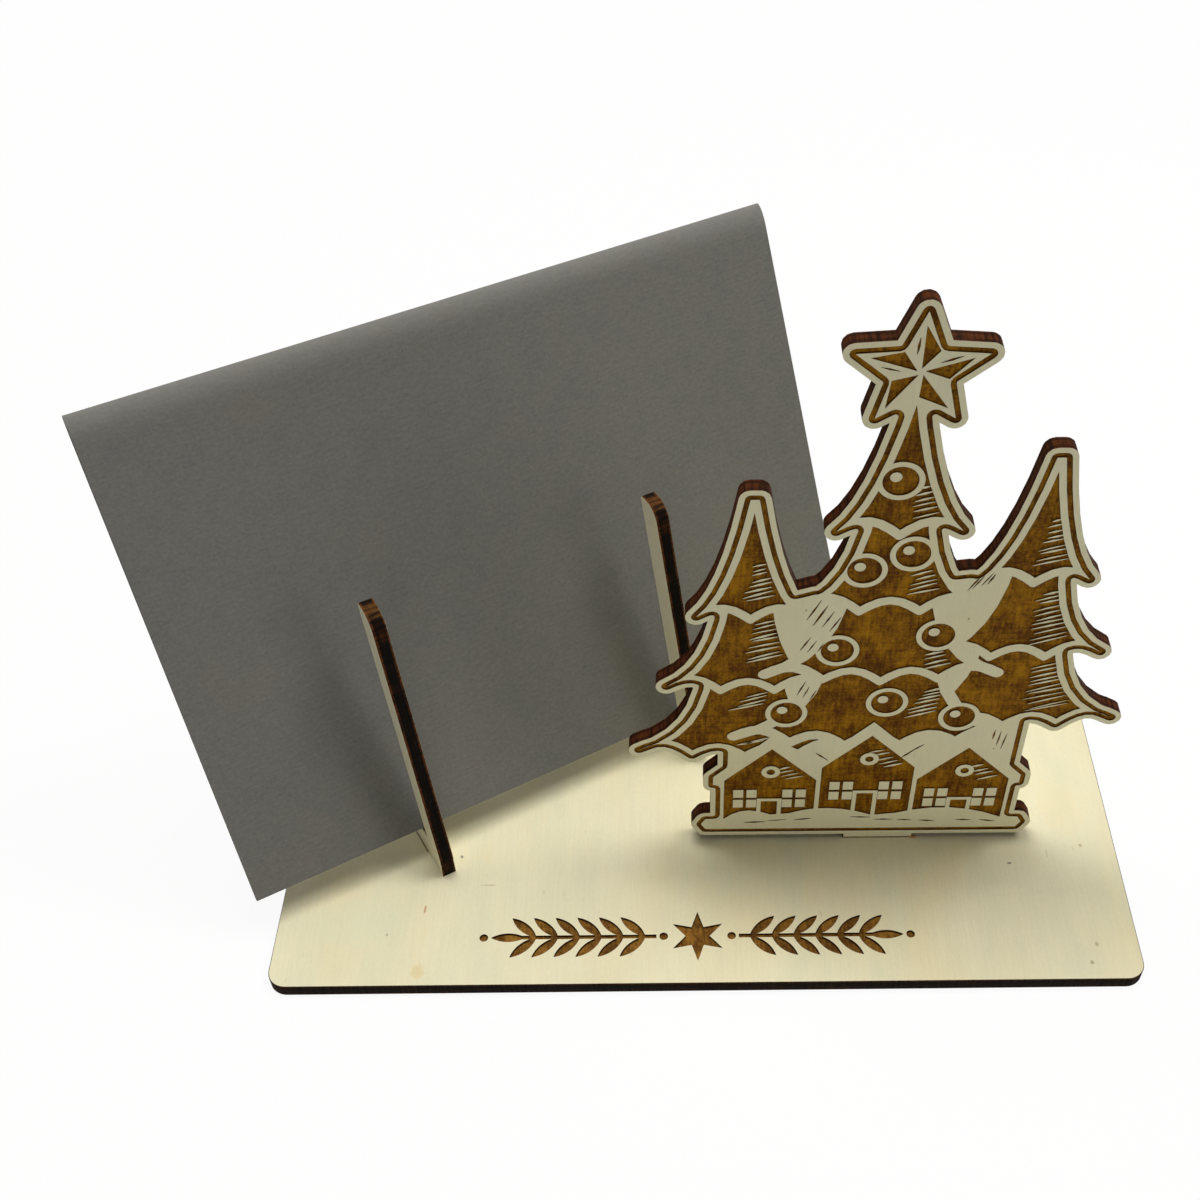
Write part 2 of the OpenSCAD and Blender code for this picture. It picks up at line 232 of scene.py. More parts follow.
class Paint(Wiring):
    """A material in the making, for one sheet, around one Principled shader."""

    def __init__(self, name: str, to_world: Matrix) -> None:
        """Starts a material with the shaded point in the sheet's own frame.

        That point is a vector: across the grain, along the grain and out of the sheet's face.

        Args:
            name: the material's name.
            to_world: the sheet's place, in metres.
        """
        self.material = bpy.data.materials.new(name)
        super().__init__(self.material)
        at = self.flow("ShaderNodeTexCoord", {}, {}, "Object")
        values = {"Vector": at, "Location": to_world.to_translation(), "Rotation": to_world.to_euler()}
        self.point = self.flow("ShaderNodeMapping", {"vector_type": "TEXTURE"}, values)

    def parts(self) -> tuple[Flow, ...]:
        """The point's three coordinates, in metres."""
        split = self.node("ShaderNodeSeparateXYZ", {}, {0: self.point})
        return tuple(Flow(self, out) for out in split.outputs)

    def noise(self, scale: Triple, detail: float = 3.0, rough: float = 0.55) -> Flow:
        """Noise from 0 to 1.

        Args:
            scale: features per metre along each coordinate, so that a pattern can be longer one way.
            detail: how many finer layers it has.
            rough: how strong the finer layers are.

        Returns:
            The noise's value.
        """
        here = self.flow("ShaderNodeVectorMath", {"operation": "MULTIPLY"}, {0: self.point, 1: scale})
        values = {"Vector": here, "Scale": 1.0, "Detail": detail, "Roughness": rough}
        return self.flow("ShaderNodeTexNoise", {}, values)

    def step(self, value: Flow, low: float, high: float) -> Flow:
        """A soft step from 0 at low to 1 at high, where low may be the larger."""
        values = {"Value": value, "From Min": low, "From Max": high}
        return self.flow("ShaderNodeMapRange", {"interpolation_type": "SMOOTHSTEP"}, values)

    def mix(self, share: Value, first: object, second: object, blend: str = "MIX") -> Flow:
        """Mixes two colours.

        Args:
            share: how much of the second, from 0 to 1.
            first: a colour or a link.
            second: a colour or a link.
            blend: the way of mixing.

        Returns:
            The mixed colour.
        """
        full = [c if isinstance(c, Flow) else (*c, 1.0) for c in (first, second)]
        settings = {"data_type": "RGBA", "blend_type": blend}
        return self.flow("ShaderNodeMix", settings, {0: share, 6: full[0], 7: full[1]}, 2)

    def toned(self, colour: Flow, tone: Flow) -> Flow:
        """A colour made lighter where the tone is above 1, and darker where it is below."""
        grey = self.flow("ShaderNodeCombineColor", {}, {0: tone, 1: tone, 2: tone})
        return self.mix(1.0, colour, grey, "MULTIPLY")

    def surface(self, colour: Flow, rough: Value, height: Flow, depth: float, sheen: float = 0.25) -> None:
        """Ends the material with its shader.

        Args:
            colour: its base colour.
            rough: its roughness.
            height: the relief, from 0 to 1.
            depth: the relief's depth in metres.
            sheen: how strongly it reflects, where 0.5 is a varnish.
        """
        bump = self.flow("ShaderNodeBump", {}, {"Height": height, "Distance": depth, "Strength": 1.0})
        looks = {"Base Color": colour, "Roughness": rough, "Normal": bump, "Specular IOR Level": sheen}
        shader = self.flow("ShaderNodeBsdfPrincipled", {}, looks)
        self.node("ShaderNodeOutputMaterial", {}, {"Surface": shader})


# --- finishes


@dataclass(frozen=True)
class Fleck:
    """A small mark on a sheet, in millimetres of the sheet's own frame."""

    across: float
    along: float
    width: float
    length: float
    colour: Triple
    strength: float = 0.75

    def laid_on(self, paint: Paint, ragged: Flow, colour: Flow) -> Flow:
        """The colour with the mark on it.

        Args:
            paint: the material in the making.
            ragged: a noise that frays the mark's outline.
            colour: the colour under the mark.

        Returns:
            The colour with the mark.
        """
        across, along, _ = paint.parts()
        wide = (across - self.across * MM) / (self.width * MM)
        long = (along - self.along * MM) / (self.length * MM)
        inside = paint.step(wide * wide + long * long + ragged.swing(1.6), 1.0, 0.1)
        return paint.mix(inside * self.strength, colour, self.colour)


@dataclass(frozen=True)
class Finish:
    """A finish that is laid out in the frame of its sheet."""

    name: str

    def dress(self, to_world: Matrix) -> bpy.types.Material:
        """Makes the finish's material.

        Args:
            to_world: the place of the sheet that has it.

        Returns:
            The material.
        """
        paint = Paint(self.name, to_world)
        self.lay(paint)
        return paint.material

    def lay(self, paint: Paint) -> None:
        """Lays the finish into a material in the making, as each kind of finish does in its way."""
        raise NotImplementedError


@dataclass(frozen=True)
class BirchFace(Finish):
    """Unvarnished birch veneer: cream with a fine grain, cloudy tones and a few flecks."""

    cream: Triple = (0.81, 0.757, 0.525)
    warm: Triple = (0.785, 0.705, 0.45)
    cool: Triple = (0.735, 0.712, 0.50)
    flecks: tuple[Fleck, ...] = ()
    pore: Triple = (0.42, 0.32, 0.17)

    def lay(self, paint: Paint) -> None:
        """Lays out the veneer.

        Args:
            paint: the material in the making.
        """
        cloud = paint.noise((30.0, 17.0, 20.0), 2.0)
        drift = paint.noise((70.0, 24.0, 20.0))
        band = paint.noise((330.0, 11.0, 60.0))
        fibre = paint.noise((1500.0, 60.0, 300.0), 4.0, 0.7)
        thread = paint.noise((2300.0, 900.0, 900.0), 2.0)
        mottle = paint.noise((240.0, 150.0, 60.0), 3.0, 0.6)
        dash = paint.step(paint.noise((900.0, 130.0, 300.0), 2.0), 0.71, 0.79)
        colour = paint.mix(paint.step(cloud, 0.42, 0.7), self.cream, self.warm)
        colour = paint.mix(paint.step(drift, 0.46, 0.72) * 0.8, colour, self.cool)
        colour = paint.mix(paint.step(mottle, 0.5, 0.8) * 0.5, colour, self.warm)
        tone = 1.0 + band.swing(0.05) + fibre.swing(0.11) + thread.swing(0.09) + mottle.swing(0.08)
        colour = paint.mix(dash * 0.3, paint.toned(colour, tone), self.pore)
        for fleck in self.flecks:
            colour = fleck.laid_on(paint, thread, colour)
        rough = 0.60 + fibre.swing(0.18) + 0.1 * dash
        paint.surface(colour, rough, fibre * 0.7 + thread * 0.3 - dash * 0.6, 0.00007)


@dataclass(frozen=True)
class CharredEdge(Finish):
    """The edge that a laser leaves on plywood: black glue lines, brown veneers, fine scorch marks."""

    veneer: Triple = (0.060, 0.024, 0.008)
    core: Triple = (0.007, 0.004, 0.002)
    soot: Triple = (0.003, 0.002, 0.0015)
    toasted: tuple[Fleck, ...] = ()
    layers: tuple[float, ...] = (0.0, 0.08, 0.17, 0.32, 0.66, 0.80, 0.90, 1.0)

    def lay(self, paint: Paint) -> None:
        """Lays out the layers of the plywood and the scorch marks across them.

        Args:
            paint: the material in the making.
        """
        _, _, level = paint.parts()
        wander = paint.noise((90.0, 90.0, 0.0))
        scorch = paint.noise((1600.0, 1600.0, 120.0), 3.0, 0.65)
        patch = paint.noise((140.0, 140.0, 200.0), 2.0)
        streak = paint.noise((120.0, 120.0, 3400.0), 3.0, 0.7)
        from_face = (0.0 - level) / (PLY * MM) + wander.swing(0.10)
        front_half = (self.veneer, self.veneer, self.soot, self.core)
        stops = tuple(zip(self.layers, front_half + front_half[::-1]))
        colour = paint.flow("ShaderNodeValToRGB", {"stops": stops}, {0: from_face})
        colour = paint.mix(paint.step(patch, 0.52, 0.8) * 0.4, colour, self.veneer)
        colour = paint.mix(paint.step(streak, 0.54, 0.74) * 0.6, colour, self.veneer)
        for fleck in self.toasted:
            colour = fleck.laid_on(paint, scorch, colour)
        burnt = paint.step(scorch, 0.40, 0.66) * 0.85 + paint.step(streak, 0.48, 0.40) * 0.5
        colour = paint.mix(burnt, colour, self.soot)
        paint.surface(colour, 0.62 + 0.25 * scorch, scorch, 0.00015, 0.05)


@dataclass(frozen=True)
class BurntPocket(Finish):
    """Wood that a laser has burnt away in raster lines: golden brown over the grain, with darker walls."""

    depth: float
    light: Triple = (0.430, 0.195, 0.004)
    deep: Triple = (0.085, 0.026, 0.001)
    wall: Triple = (0.150, 0.058, 0.005)

    def lay(self, paint: Paint) -> None:
        """Lays out the burnt floor and the walls above it.

        Args:
            paint: the material in the making.
        """
        _, _, level = paint.parts()
        grain = paint.noise((1500.0, 170.0, 100.0), 4.0, 0.7)
        raster = paint.noise((110.0, 1500.0, 100.0), 3.0, 0.65)
        cloud = paint.noise((150.0, 110.0, 50.0))
        blot = paint.noise((620.0, 380.0, 100.0), 4.0, 0.7)
        speck = paint.noise((1700.0, 1700.0, 500.0), 2.0)
        streaks = grain.swing(1.0) + raster.swing(0.5) + speck.swing(0.6)
        burn = streaks + cloud.swing(1.2) + blot.swing(0.8) + 0.42
        colour = paint.mix(paint.step(burn, 0.05, 0.95), self.deep, self.light)
        floor = -self.depth * MM
        colour = paint.mix(paint.step(level, floor * 0.93, floor * 0.72), colour, self.wall)
        paint.surface(colour, 0.72 - 0.15 * raster, raster * 0.5 + grain * 0.5, 0.00012, 0.08)


@dataclass(frozen=True)
class ScorchRim(Finish):
    """The dark line of char along the foot of a pocket's wall or the rim of a slot."""

    char: Triple = (0.160, 0.064, 0.005)
    soot: Triple = (0.080, 0.029, 0.003)

    def lay(self, paint: Paint) -> None:
        """Lays out the char.

        Args:
            paint: the material in the making.
        """
        patch = paint.noise((500.0, 500.0, 200.0))
        colour = paint.mix(paint.step(patch, 0.3, 0.7), self.soot, self.char)
        paint.surface(colour, 0.75, patch, 0.0001, 0.05)


@dataclass(frozen=True)
class GreyCard(Finish):
    """Matt grey card: mottled pulp with fine light and dark fibres, and a paler band along the fold, which
    is partly the crease's whitening and partly a painted highlight.
    """

    pulp: Triple = (0.164, 0.160, 0.145)
    cool: Triple = (0.154, 0.155, 0.143)
    warm: Triple = (0.171, 0.161, 0.143)
    fibre: Triple = (0.34, 0.32, 0.29)
    # colour of the fold: whitening of the crease plus a painted highlight where the fold faces up
    fold_pale_and_lit: Triple = (0.29, 0.28, 0.26)
    crease_from: float = 98.0
    crease_to: float = 104.0

    def lay(self, paint: Paint) -> None:
        """Lays out the paper.

        Args:
            paint: the material in the making.
        """
        _, up, _ = paint.parts()
        cloud = paint.noise((38.0, 38.0, 38.0), 4.0)
        tint = paint.noise((160.0, 160.0, 160.0))
        pulp = paint.noise((1300.0, 1300.0, 1300.0), 4.0, 0.75)
        fibre = paint.noise((420.0, 2100.0, 1500.0), 3.0, 0.6)
        colour = paint.mix(paint.step(tint, 0.42, 0.66), self.pulp, self.cool)
        colour = paint.mix(paint.step(cloud, 0.5, 0.75) * 0.8, colour, self.warm)
        colour = paint.toned(colour, 1.0 + pulp.swing(0.62) + fibre.swing(0.34))
        colour = paint.mix(paint.step(pulp, 0.70, 0.78) * 0.35, colour, self.fibre)
        # paler towards the top of the card: partly whitening of the crease, partly a painted highlight on
        # the fold
        pale_and_lit_share = paint.step(up + tint.swing(0.004), self.crease_from * MM, self.crease_to * MM)
        colour = paint.mix(pale_and_lit_share * 0.25, colour, self.fold_pale_and_lit)
        paint.surface(colour, 0.83 + pulp.swing(0.1), pulp * 0.7 + fibre * 0.3, 0.00009, 0.15)


@dataclass(frozen=True)
class AmberGlue(Finish):
    """Set wood glue, toasted amber at the edge of the cut."""

    amber: Triple = (0.52, 0.29, 0.06)
    brown: Triple = (0.30, 0.13, 0.02)

    def lay(self, paint: Paint) -> None:
        """Lays out the glue.

        Args:
            paint: the material in the making.
        """
        patch = paint.noise((700.0, 700.0, 700.0))
        colour = paint.mix(paint.step(patch, 0.35, 0.65), self.amber, self.brown)
        paint.surface(colour, 0.28 + 0.2 * patch, patch, 0.00008, 0.5)


# --- the bench


def bench_clear() -> None:
    """Deselects everything, so that an operator acts on one piece alone."""
    bpy.ops.object.select_all(action="DESELECT")


def everything(element: object) -> bool:
    """A test that each element passes."""
    return True


class Workpiece:
    """A mesh on the bench, in millimetres of its sheet's own frame, shaped with edit-mode operators."""

    def __init__(self, obj: bpy.types.Object) -> None:
        """Takes up an object whose mesh is to be shaped."""
        self.obj = obj

    @classmethod
    def added(cls, name: str, primitive: Callable, **options: object) -> Workpiece:
        """Adds a primitive, with its place and size in its mesh.

        Args:
            name: its name.
            primitive: the operator that adds it.
            options: the operator's options.

        Returns:
            The primitive as a workpiece.
        """
        bench_clear()
        primitive(**options)
        bpy.ops.object.transform_apply(location=True, rotation=True, scale=True)
        return cls(bpy.context.object).named(name)

    @classmethod
    def block(cls, name: str, low: Sequence[float], high: Sequence[float]) -> Workpiece:
        """Adds a cube that fills a box.

        Args:
            name: its name.
            low: the box's lowest corner.
            high: its highest corner.

        Returns:
            The cube.
        """
        size = [b - a for a, b in zip(low, high)]
        middle = [(a + b) / 2 for a, b in zip(low, high)]
        return cls.added(name, bpy.ops.mesh.primitive_cube_add, size=1.0, location=middle, scale=size)

    @classmethod
    def rod(cls, name: str, centre: Triple, radius: float, length: float, sides: int) -> Workpiece:
        """Adds a cylinder that stands out of the sheet."""
        shape = {"location": centre, "radius": radius, "depth": length, "vertices": sides}
        return cls.added(name, bpy.ops.mesh.primitive_cylinder_add, **shape)

    @classmethod
    def lens(cls, name: str, long: float, wide: float, low: float, high: float, sides: int) -> Workpiece:
        """Adds a shape with two pointed ends: half of it is a slice of a rod, which is then mirrored.

        Args:
            name: its name.
            long: its length from point to point.
            wide: its width at the middle.
            low: the level of its underside.
            high: the level of its top.
            sides: the sides of the rod.

        Returns:
            The shape, along the x axis.
        """
        radius = (long**2 / wide + wide) / 4
        piece = cls.rod(name, (0.0, wide / 2 - radius, (low + high) / 2), radius, high - low, sides)
        cut = {"plane_co": (0.0, 0.0, 0.0), "plane_no": (0.0, 1.0, 0.0), "clear_inner": True}
        piece.edit(Pick.VERTS, everything, bpy.ops.mesh.bisect, **cut)
        piece.modify("MIRROR", use_axis=(False, True, False), merge_threshold=TINY)
        return piece.edit(Pick.FACES, everything, bpy.ops.mesh.normals_make_consistent, inside=False)

    @classmethod
    def copy_of(cls, name: str, source: bpy.types.Object, to_local: Matrix) -> Workpiece:
        """Takes a copy of a mesh, in the sheet's own frame, with its loose triangles merged.

        Args:
            name: the copy's name.
            source: the object to copy.
            to_local: from metres in the shared frame to millimetres in the sheet's.

        Returns:
            The copy.
        """
        obj = bpy.data.objects.new(name, source.data.copy())
        obj.data.materials.clear()
        bpy.context.collection.objects.link(obj)
        piece = cls(obj).named(name).moved(to_local)
        piece.edit(Pick.VERTS, everything, bpy.ops.mesh.remove_doubles, threshold=TINY)
        flat = {"angle_limit": math.radians(COPLANAR)}
        return piece.edit(Pick.FACES, everything, bpy.ops.mesh.dissolve_limited, **flat)

    @staticmethod
    def joined(name: str, pieces: Sequence[Workpiece]) -> Workpiece:
        """Joins workpieces into one mesh.

        Args:
            name: its name.
            pieces: the workpieces, of which the first takes in the others.

        Returns:
            The whole.
        """
        first = pieces[0].alone()
        for piece in pieces:
            piece.obj.select_set(True)
        bpy.ops.object.join()
        return first.named(name)

    def named(self, name: str) -> Workpiece:
        """Gives the object and its mesh a name."""
        self.obj.name = self.obj.data.name = name
        return self

    def alone(self) -> Workpiece:
        """Selects this piece, makes it the active one, and leaves nothing else selected.

        Returns:
            This workpiece.
        """
        bench_clear()
        self.obj.select_set(True)
        bpy.context.view_layer.objects.active = self.obj
        return self

    def moved(self, matrix: Matrix) -> Workpiece:
        """Moves or turns the mesh."""
        self.obj.data.transform(matrix)
        return self

    def twin(self, matrix: Matrix) -> Workpiece:
        """A copy with a mesh of its own.

        Args:
            matrix: where it goes from here.

        Returns:
            The copy.
        """
        obj = self.obj.copy()
        obj.data = self.obj.data.copy()
        bpy.context.collection.objects.link(obj)
        return Workpiece(obj).moved(matrix)

    def corners(self, element: object) -> list[Vector]:
        """The corners of an edge or a face."""
        return [self.obj.data.vertices[i].co for i in element.vertices]

    def centre(self, element: object) -> Vector:
        """The middle of an edge or a face."""
        places = self.corners(element)
        return sum(places, Vector()) / len(places)

    def is_veneer(self, face: object) -> bool:
        """Whether a face lies in the front or the back of the plywood."""
        level = self.centre(face).z
        return abs(face.normal.z) > FACING and (level > -TINY or level < TINY - PLY)

    def edit(
        self, pick: Pick, test: Callable[[object], bool], operator: Callable, **options: object
    ) -> Workpiece:
        """Selects by a test and runs one edit-mode operator on the selection.

        Args:
            pick: what is selected.
            test: says whether an element is selected.
            operator: the operator.
            options: the operator's options.

        Returns:
            This workpiece.
        """
        mesh = self.alone().obj.data
        groups = {Pick.VERTS: mesh.vertices, Pick.EDGES: mesh.edges, Pick.FACES: mesh.polygons}
        for group in groups.values():
            group.foreach_set("select", [False] * len(group))
        bpy.context.tool_settings.mesh_select_mode = pick.value
        chosen = [element for element in groups[pick] if test(element)]
        for element in chosen:
            element.select = True
        if chosen:
            bpy.ops.object.mode_set(mode="EDIT")
            operator(**options)
            bpy.ops.object.mode_set(mode="OBJECT")
        return self

    def modify(self, kind: str, **settings: object) -> Workpiece:
        """Adds and applies a modifier.

        Args:
            kind: its type.
            settings: its settings.

        Returns:
            This workpiece.
        """
        self.alone()
        modifier = self.obj.modifiers.new(kind.lower(), kind)
        for name, setting in settings.items():
            setattr(modifier, name, setting)
        bpy.ops.object.modifier_apply(modifier=modifier.name)
        return self

    def cut(self, cutter: Workpiece) -> Workpiece:
        """Cuts another workpiece's shape out of this one, and uses that one up.

        Args:
            cutter: the other workpiece.

        Returns:
            This workpiece.
        """
        self.modify("BOOLEAN", object=cutter.obj, operation="DIFFERENCE", solver="EXACT", use_self=True)
        bpy.data.objects.remove(cutter.obj, do_unlink=True)
        return self

    def round_corner(self, across: float, along: float, radius: float, inside: float) -> Workpiece:
        """Rounds a corner of the outline.

        Args:
            across: the corner's place.
            along: the corner's place.
            radius: the radius it gets.
            inside: the angle between its two sides, in degrees.

        Returns:
            This workpiece.
        """

        def at_corner(edge: object) -> bool:
            """Whether the edge crosses the sheet there."""
            return all(abs(p.x - across) < NEAR and abs(p.y - along) < NEAR for p in self.corners(edge))

        turn = 180.0 - inside
        shape = {"offset": radius * slope(turn / 2.0), "segments": max(2, math.ceil(turn / FACET))}
        return self.edit(Pick.EDGES, at_corner, bpy.ops.mesh.bevel, profile=0.5, **shape)

    def soften(self, chamfer: float, above: float = -math.inf) -> Workpiece:
        """Takes the sharpness off the edges of the sheet's front and back.

        Args:
            chamfer: how wide a softened edge gets.
            above: the y that an edge has to be above.

        Returns:
            This workpiece.
        """

        def on_rim(edge: object) -> bool:
            """Whether the edge lies in the sheet's plane, above that y."""
            one, other = self.corners(edge)
            return abs(one.z - other.z) < TINY and min(one.y, other.y) > above

        return self.edit(Pick.EDGES, on_rim, bpy.ops.mesh.bevel, offset=chamfer, segments=2, profile=0.6)

    def dressed(
        self,
        to_world: Matrix,
        materials: Sequence[bpy.types.Material],
        choose: Callable[[object], int] = lambda face: 0,
        flat: bool = False,
    ) -> bpy.types.Object:
        """Gives each face its material, and puts the mesh where it belongs, in metres.

        Args:
            to_world: the sheet's place.
            materials: the materials that its faces have.
            choose: the index of a face's material.
            flat: whether the faces that lie in the sheet are shaded flat.

        Returns:
            The finished object.
        """
        mesh = self.obj.data
        for material in materials:
            mesh.materials.append(material)
        for face in mesh.polygons:
            face.material_index = choose(face)
        level = [face.index for face in mesh.polygons if flat and abs(face.normal.z) > FLAT]
        mesh.transform(to_world @ Matrix.Scale(MM, 4))
        self.alone()
        bpy.ops.object.shade_smooth_by_angle(angle=math.radians(CREASE))
        for index in level:
            mesh.polygons[index].use_smooth = False
        return self.obj


def fit_out(obj: bpy.types.Object, body: Body, slot: Slot, *nodes: str) -> bpy.types.Object:
    """Tells the frame what a finished piece rides on, and hides the CAD nodes that it stands for.

    Args:
        obj: the piece.
        body: the body it moves with.
        slot: not used.
        nodes: the CAD nodes that it replaces.

    Returns:
        The piece.
    """
    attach(obj, body.value)
    if nodes:
        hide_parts(*nodes)
    return obj


def scorch_line(
    source: Workpiece,
    name: str,
    level: float,
    radius: float,
    around: Callable[[Vector], bool] = lambda place: True,
) -> Workpiece:
    """Runs a thin bead of char along the outlines of the faces at a level of a sheet.

    Args:
        source: the sheet with pockets or slots.
        name: the bead's name.
        level: the level of those faces.
        radius: the bead's radius.
        around: says whether an outline's edge with that middle gets a bead.

    Returns:
        The beads, as one workpiece.
    """
    sides = Counter(
        key
        for face in source.obj.data.polygons
        if face.normal.z > FACING and abs(source.centre(face).z - level) < NEAR
        for key in face.edge_keys
    )
    bead = source.twin(Matrix.Identity(4))

    def is_bare(edge: object) -> bool:
        """Whether the edge gets no bead."""
        return sides[edge.key] != 1 or not around(bead.centre(edge))

    bead.edit(Pick.EDGES, is_bare, bpy.ops.mesh.delete, type="EDGE")
    bead.edit(Pick.FACES, everything, bpy.ops.mesh.delete, type="ONLY_FACE").alone()
    bpy.ops.object.convert(target="CURVE")
    curve = bpy.context.object.data
    curve.dimensions = "3D"
    curve.bevel_depth = radius
    curve.bevel_resolution = 1
    bpy.ops.object.convert(target="MESH")
    return Workpiece(bpy.context.object).named(name)


# --- the pieces


@dataclass
class Board:
    """The base board, with its three slots and the carved ornament along its front."""

    fork_slots: Sequence[Pair]
    panel_slot: Pair = (38.0, -11.9)
    width: float = 180.0
    depth: float = 100.0
    corner: float = 4.0
    chamfer: float = 0.16
    slot_wide: float = 3.2
    slot_long: float = 15.2
    slot_reach: float = 0.6
    carving: Pair = (-2.0, -38.7)
    carving_half: Pair = (60.0, 9.0)
    carving_deep: float = 0.5
    char_line: float = 0.13

    def build(self) -> list[bpy.types.Object]:
        """Builds and dresses the board and the char around its carving and its slots.

        The board's frame has its origin at the middle of its top face.

        Returns:
            The finished pieces.
        """
        half_w, half_d = self.width / 2, self.depth / 2
        board = Workpiece.block("base_board", (-half_w, -half_d, -PLY), (half_w, half_d, 0.0))
        for x in (-half_w, half_w):
            for y in (-half_d, half_d):
                board.round_corner(x, y, self.corner, 90.0)
        board.soften(self.chamfer)
        board.cut(self._slots())
        board.cut(Sprigs().cutter("carving", self.carving, self.carving_deep))
        rims = scorch_line(board, "carving_scorch", -self.carving_deep, self.char_line)
        lips = scorch_line(board, "slot_scorch", 0.0, self.char_line, self._by_slot)
        finishes = (
            BirchFace("birch_base", flecks=BASE_FLECKS),
            CharredEdge("charred_base"),
            BurntPocket(
                "burnt_carving",
                self.carving_deep,
                light=(0.340, 0.160, 0.022),
                deep=(0.080, 0.030, 0.003),
                wall=(0.045, 0.016, 0.002),
            ),
            ScorchRim("scorch_carving", (0.060, 0.022, 0.003), (0.016, 0.006, 0.001)),
            ScorchRim("scorch_slots", (0.260, 0.115, 0.018), (0.060, 0.024, 0.004)),
        )
        place = Matrix.Translation((0.0, 0.0, PLY * MM))
        *faces, char, toast = [finish.dress(place) for finish in finishes]
        obj = board.dressed(place, faces, lambda face: self._finish_of(board, face), flat=True)
        return [
            fit_out(rims.dressed(place, [char]), Body.STAND, Slot.BASE),
            fit_out(lips.dressed(place, [toast]), Body.STAND, Slot.BASE),
            fit_out(obj, Body.STAND, Slot.BASE, "base_plate"),
        ]

    def _by_slot(self, place: Vector) -> bool:
        """Whether a point of the board's face is at the rim of a slot."""
        reach, slots = self.slot_long * self.slot_reach, (*self.fork_slots, self.panel_slot)
        return any(math.hypot(place.x - x, place.y - y) < reach for x, y in slots)

    def _slots(self) -> Workpiece:
        """The cutter for the slots, which goes right through the board.

        Returns:
            The cutter.
        """
        half_w, half_l, over = self.slot_wide / 2, self.slot_long / 2, 1.0
        places = [(x, y, FORK_TURN, half_w, half_l) for x, y in self.fork_slots]
        slots = []
        for x, y, turn, wide, long in (*places, (*self.panel_slot, 0.0, half_l, half_w)):
            slot = Workpiece.block("slot", (-wide, -long, -PLY - over), (wide, long, over))
            slots.append(slot.moved(Matrix.Translation((x, y, 0.0)) @ turned(turn)))
        return Workpiece.joined("slots", slots)

    def _finish_of(self, board: Workpiece, face: object) -> int:
        """Which of veneer, charred edge and burnt pocket a face is.

        Args:
            board: the board.
            face: one of its faces.

        Returns:
            The finish's index.
        """
        if board.is_veneer(face):
            return 0
        middle = board.centre(face)
        half_w, half_d = self.carving_half
        near = abs(middle.x) < half_w and abs(middle.y - self.carving[1]) < half_d
        return 2 if near and middle.z > -self.carving_deep - TINY else 1


@dataclass
class Sprigs:
    """The ornament: a star between two leafy sprigs with berries."""

    wide: float = 91.0
    star: float = 6.0
    star_sides: int = 12
    star_waist: float = 0.42
    leaf_long: float = 7.2
    leaf_wide: float = 2.1
    leaf_sides: int = 96
    pairs: int = 6
    leaf_turn: float = 42.0
    stem: float = 0.9
    berry: float = 0.9
    berry_sides: int = 24
    berry_gap: float = 1.1
    sprig_gap: float = 2.6
    tip_gap: float = 0.6
    above: float = 1.0

    def cutter(self, name: str, centre: Pair, deep: float) -> Workpiece:
        """The shape that carves the ornament.

        Args:
            name: the cutter's name.
            centre: the ornament's middle.
            deep: how deep it is carved.

        Returns:
            The cutter.
        """
        start = self.star + self.sprig_gap
        long = self.wide / 2 - start - 2 * self.berry - self.tip_gap
        length, level = deep + self.above, (self.above - deep) / 2
        leaf = Workpiece.lens("leaf", self.leaf_long, self.leaf_wide, -deep, self.above, self.leaf_sides)
        low = (start, -self.stem / 2, -deep)
        high = (start + long - self.leaf_long / 2, self.stem / 2, self.above)
        parts = [self._star(length, level)]
        for half in (turned(0.0), turned(180.0)):
            parts += [leaf.twin(half @ place) for place in self._leaf_places(start, long)]
            parts.append(Workpiece.block("stem", low, high).moved(half))
            for x in (self.wide / 2 - self.berry, self.star + self.berry_gap):
                berry = Workpiece.rod("berry", (x, 0.0, level), self.berry, length, self.berry_sides)
                parts.append(berry.moved(half))
        bpy.data.objects.remove(leaf.obj, do_unlink=True)
        return Workpiece.joined(name, parts).moved(Matrix.Translation((*centre, 0.0)))

    def _star(self, length: float, level: float) -> Workpiece:
        """The star: a rod with every other corner drawn in.

        Args:
            length: how long the rod is.
            level: the level of its middle.

        Returns:
            The star.
        """
        star = Workpiece.rod("star", (0.0, 0.0, level), self.star, length, self.star_sides)
        step = 360.0 / self.star_sides
        return star.edit(
            Pick.VERTS,
            lambda v: round(math.degrees(math.atan2(v.co.x, v.co.y)) / step) % 2 == 1,
            bpy.ops.transform.resize,
            value=(self.star_waist, self.star_waist, 1.0),
            center_override=(0.0, 0.0, level),
        )

    def _leaf_places(self, start: float, long: float) -> list[Matrix]:
        """Where the leaves of a sprig go: in pairs along it, and one at its tip.

        Args:
            start: where the sprig starts.
            long: how long it is.

        Returns:
            A place for each leaf.
        """
        pitch = (long - self.leaf_long) / self.pairs
        out = Matrix.Translation((self.leaf_long / 2, 0.0, 0.0))
        places = [Matrix.Translation((start + long - self.leaf_long / 2, 0.0, 0.0))]
        for i in range(self.pairs):
            foot = Matrix.Translation((start + (i + 0.5) * pitch, 0.0, 0.0))
            places += [foot @ turned(side * self.leaf_turn) @ out for side in (-1.0, 1.0)]
        return places


